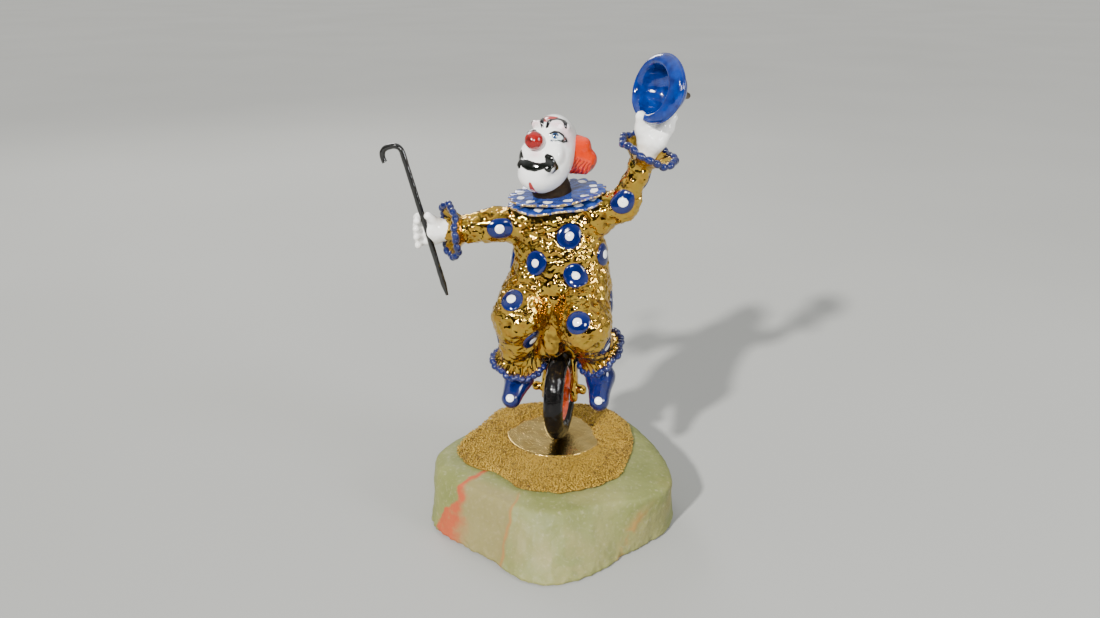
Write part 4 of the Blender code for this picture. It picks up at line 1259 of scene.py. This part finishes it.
def grain_shape():
    """The 12 corners and 20 faces of the regular solid that every grain is squeezed from."""
    golden = (1 + 5**0.5) / 2
    tips = np.array([(0, a, b * golden) for a in (-1, 1) for b in (-1, 1)], float)
    tips = unit_rows(np.concatenate([np.roll(tips, turn, 1) for turn in range(3)]))
    near = np.linalg.norm(tips[:, None] - tips[None], axis=2) < 1.1
    faces = [
        (i, j, k) for i in range(12) for j in range(i + 1, 12) for k in range(j + 1, 12)
        if near[i, j] and near[j, k] and near[i, k]
    ]
    return tips, np.array([t if np.linalg.det(tips[list(t)]) > 0 else t[::-1] for t in faces])


def make_grains():
    """Small grains scattered over the sand, but not over the disc."""
    rng = np.random.default_rng(7)
    number = np.arange(GRAIN_COUNT)
    turns = number * math.tau * 0.6180339887 + rng.uniform(-0.02, 0.02, GRAIN_COUNT)
    stray = rng.uniform(-60, 60, GRAIN_COUNT).clip(-number, None)
    out = np.sqrt((number + 0.5 + stray) / GRAIN_COUNT) * 1.02
    edge = bed_reach(turns)
    spots = np.column_stack((out * edge * np.cos(turns), out * edge * np.sin(turns), 0 * turns))
    lapping = 6.5 * smoothstep(0.25, 0.9, np.sin(turns))
    off_disc = np.linalg.norm(spots[:, :2] - DISC_CENTRE[:2], axis=1) > DISC_RADIUS - 0.2 - lapping
    spots, out = spots[off_disc], out[off_disc]
    count = len(spots)
    tips, tip_faces = grain_shape()
    sizes = rng.uniform(0.34, 0.52, count) * np.where(rng.random(count) < 0.04, 1.5, 1.0)
    shapes = tips[None] * sizes[:, None, None] * rng.uniform(0.82, 1.10, (count, 12, 1))
    flatness = rng.uniform(0.75, 1.0, count)
    turn = rng.random(count) * math.tau
    cos, sin = np.cos(turn)[:, None], np.sin(turn)[:, None]
    x, y, z = shapes[..., 0], shapes[..., 1], shapes[..., 2] * flatness[:, None]
    points = np.stack((x * cos - y * sin, x * sin + y * cos, z), -1)
    level = SAND_LEVEL + 0.15 + 0.3 * grain(spots + (0, 0, SAND_LEVEL), 9, 2)
    level -= 0.9 * smoothstep(0.92, 1.02, out)
    spots[:, 2] = level + heap(spots) + rng.uniform(-0.22, 0.42, count) * (1 - smoothstep(0.92, 1.0, out))
    points += spots[:, None]
    faces = tip_faces[None] + 12 * np.arange(count)[:, None, None]
    dark = (rng.random(count) < np.clip(0.20 + 0.5 * grain(spots, 11, 3, 5.0), 0.05, 0.6)) * 1.0
    tone = np.clip(rng.normal(0.45, 0.22, count), 0, 1)
    marks = {"tone": np.repeat(tone, 12), "dark": np.repeat(dark, 12)}
    material = grain_material("gold grains", 0.42)
    piece("gold_grains", points.reshape(-1, 3), faces.reshape(-1, 3), material, marks)


def grain_material(name, rough):
    """Gilt sand, from pale to tan, with dark brown grains among it; the dark mark also darkens the bed under
    the grains as painted shade.
    """
    material, node, link = new_material(name, {"Metallic": 0.55})
    colour = mixed(node, mark(node, "tone"), (0.26, 0.150, 0.012), (0.46, 0.305, 0.045))
    colour = mixed(node, mark(node, "dark"), colour, (0.085, 0.040, 0.008))
    colour = mixed(node, ramp(node, noise_of(node, 2200, 3.0), 0.4, 0.7), colour, (0.38, 0.235, 0.028))
    gloss, specks = noise_of(node, 1500, 3.0), noise_of(node, 2600, 3.0)
    finish(node, link, colour, gloss, (rough * 0.6, rough * 1.4), specks, 0.15, 0.0002)
    return material


def make_disc():
    """A thin polished gold plate, slightly wavy, with a rounded edge."""
    edge = (DISC_HIGH[2] - DISC_LOW[2]) / 2
    flat = DISC_RADIUS - edge
    half_turn = np.linspace(-math.pi / 2, math.pi / 2, 14)
    section = [(0.02, -edge)] + [(flat + edge * math.cos(a), edge * math.sin(a)) for a in half_turn]
    section += [(r, edge) for r in np.linspace(flat - 0.3, 0.02, 60)]
    angles, radii, heights, faces = turned(section, 200)
    points = placed(angles, radii, heights, (*DISC_CENTRE[:2], DISC_LOW[2] + edge), np.eye(3))
    points[:, 2] += np.where(heights.ravel() > edge * 0.99, 0.05 * grain(points, 3.0, 3) - 0.05, 0)
    material, node, link = new_material("disc gold", {"Metallic": 1.0})
    cloud = ramp(node, noise_of(node, 120, 3.0), 0.4, 0.65)
    colour = mixed(node, cloud, (0.60, 0.43, 0.14), (0.50, 0.34, 0.095))
    finish(node, link, colour, noise_of(node, 300), (0.12, 0.26), noise_of(node, 700, 4.0, 1.2), 0.30, 0.0005)
    disc = piece("gold_plate", points, faces, material, weld=True)
    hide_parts("ground_disc")


# Studio


def make_floor():
    reach = 16
    mesh = bpy.data.meshes.new("floor")
    places = [(-reach, -reach, 0), (reach, -reach, 0), (reach, reach, 0), (-reach, reach, 0)]
    mesh.from_pydata(places, [], [(0, 1, 2, 3)])
    material, node, link = new_material("floor", {"Roughness": 0.75, "Specular IOR Level": 0.2})
    cloud = ramp(node, noise_of(node, 3.0, 2.0), 0.3, 0.7)
    link(mixed(node, cloud, (0.315, 0.32, 0.306), (0.335, 0.34, 0.326)), "Base Color")
    mesh.materials.append(material)
    added("floor", mesh)


def make_lights():
    """A sun from the front left, and three area lamps: beside, behind, and a small one for glints."""
    rows = (
        ("key", "SUN", (-0.28, -0.80, 0.62), 0.10, 6.8, math.radians(3), (1.0, 0.98, 0.95)),
        ("fill", "AREA", (0.85, -0.30, 0.45), 0.12, 5.0, 0.30, (0.95, 0.97, 1.0)),
        ("rim", "AREA", (-0.55, 0.75, 0.70), 0.12, 5.0, 0.35, (1.0, 0.98, 0.95)),
        ("spark", "AREA", (0.22, -0.75, 0.50), 0.12, 3.5, 0.12, (1.0, 0.99, 0.97)),
    )
    for name, kind, place, aim_height, power, size, colour in rows:
        light = bpy.data.lights.new(name, kind)
        light.energy = power
        light.color = colour
        setattr(light, "angle" if kind == "SUN" else "size", size)
        lamp = added(name, light)
        lamp.location = place
        lamp.rotation_euler = (Vector((0, 0, aim_height)) - Vector(place)).to_track_quat("-Z", "Y").to_euler()


def make_world():
    """A grey surround, white overhead and dark on the side that the figurine faces."""
    world = bpy.data.worlds.new("studio")
    world.use_nodes = True
    tree = world.node_tree
    node = maker_of(tree)
    apart = node("SeparateXYZ", i0=node("TexCoord").outputs["Generated"])
    sky = node("ValToRGB", i0=apart.outputs["Z"])
    steps = sky.color_ramp.elements
    steps[0].color = (0.62, 0.62, 0.58, 1)
    steps[1].color = (1.0, 1.0, 1.0, 1)
    for place, tone in ((0.10, (0.30, 0.28, 0.25)), (0.35, (0.34, 0.33, 0.31)), (0.60, (0.90, 0.90, 0.90))):
        steps.new(place).color = (*tone, 1)
    strength = node("MapRange", i0=apart.outputs["Y"], i1=-0.75, i2=-0.05, i3=0.045, i4=1.0)
    background = tree.nodes["Background"]
    tree.links.new(strength.outputs[0], background.inputs["Strength"])
    tree.links.new(sky.outputs[0], background.inputs[0])
    bpy.context.scene.world = world


def make_camera():
    camera = bpy.data.cameras.new("camera")
    camera.lens = CAMERA_LENS
    camera.sensor_width = 36.0
    camera.clip_start = 0.01
    eye = added("camera", camera)
    eye.location = CAMERA_PLACE
    eye.rotation_euler = Euler((math.radians(90 - CAMERA_PITCH), 0, math.radians(CAMERA_TURN)), "XYZ")
    bpy.context.scene.camera = eye


def make_figurine():
    gold = gold_material("plated gold")
    blue = enamel_material("blue enamel", BLUE, DEEP_BLUE)
    form = suit_form()
    middles, normals = dot_places(form)
    make_suit(form, middles)
    make_dots(form, middles, normals)
    make_collar()
    make_cuffs(gold, blue)
    make_head()
    make_nose()
    make_hair()
    make_neck()
    make_hands()
    make_shoes()
    make_hat()
    make_knob()
    make_cane()
    make_tyre()
    make_spokes()
    make_frame(gold)
    make_stone()
    make_sand()
    make_grains()
    make_disc()


make_figurine()
make_floor()
make_lights()
make_world()
make_camera()
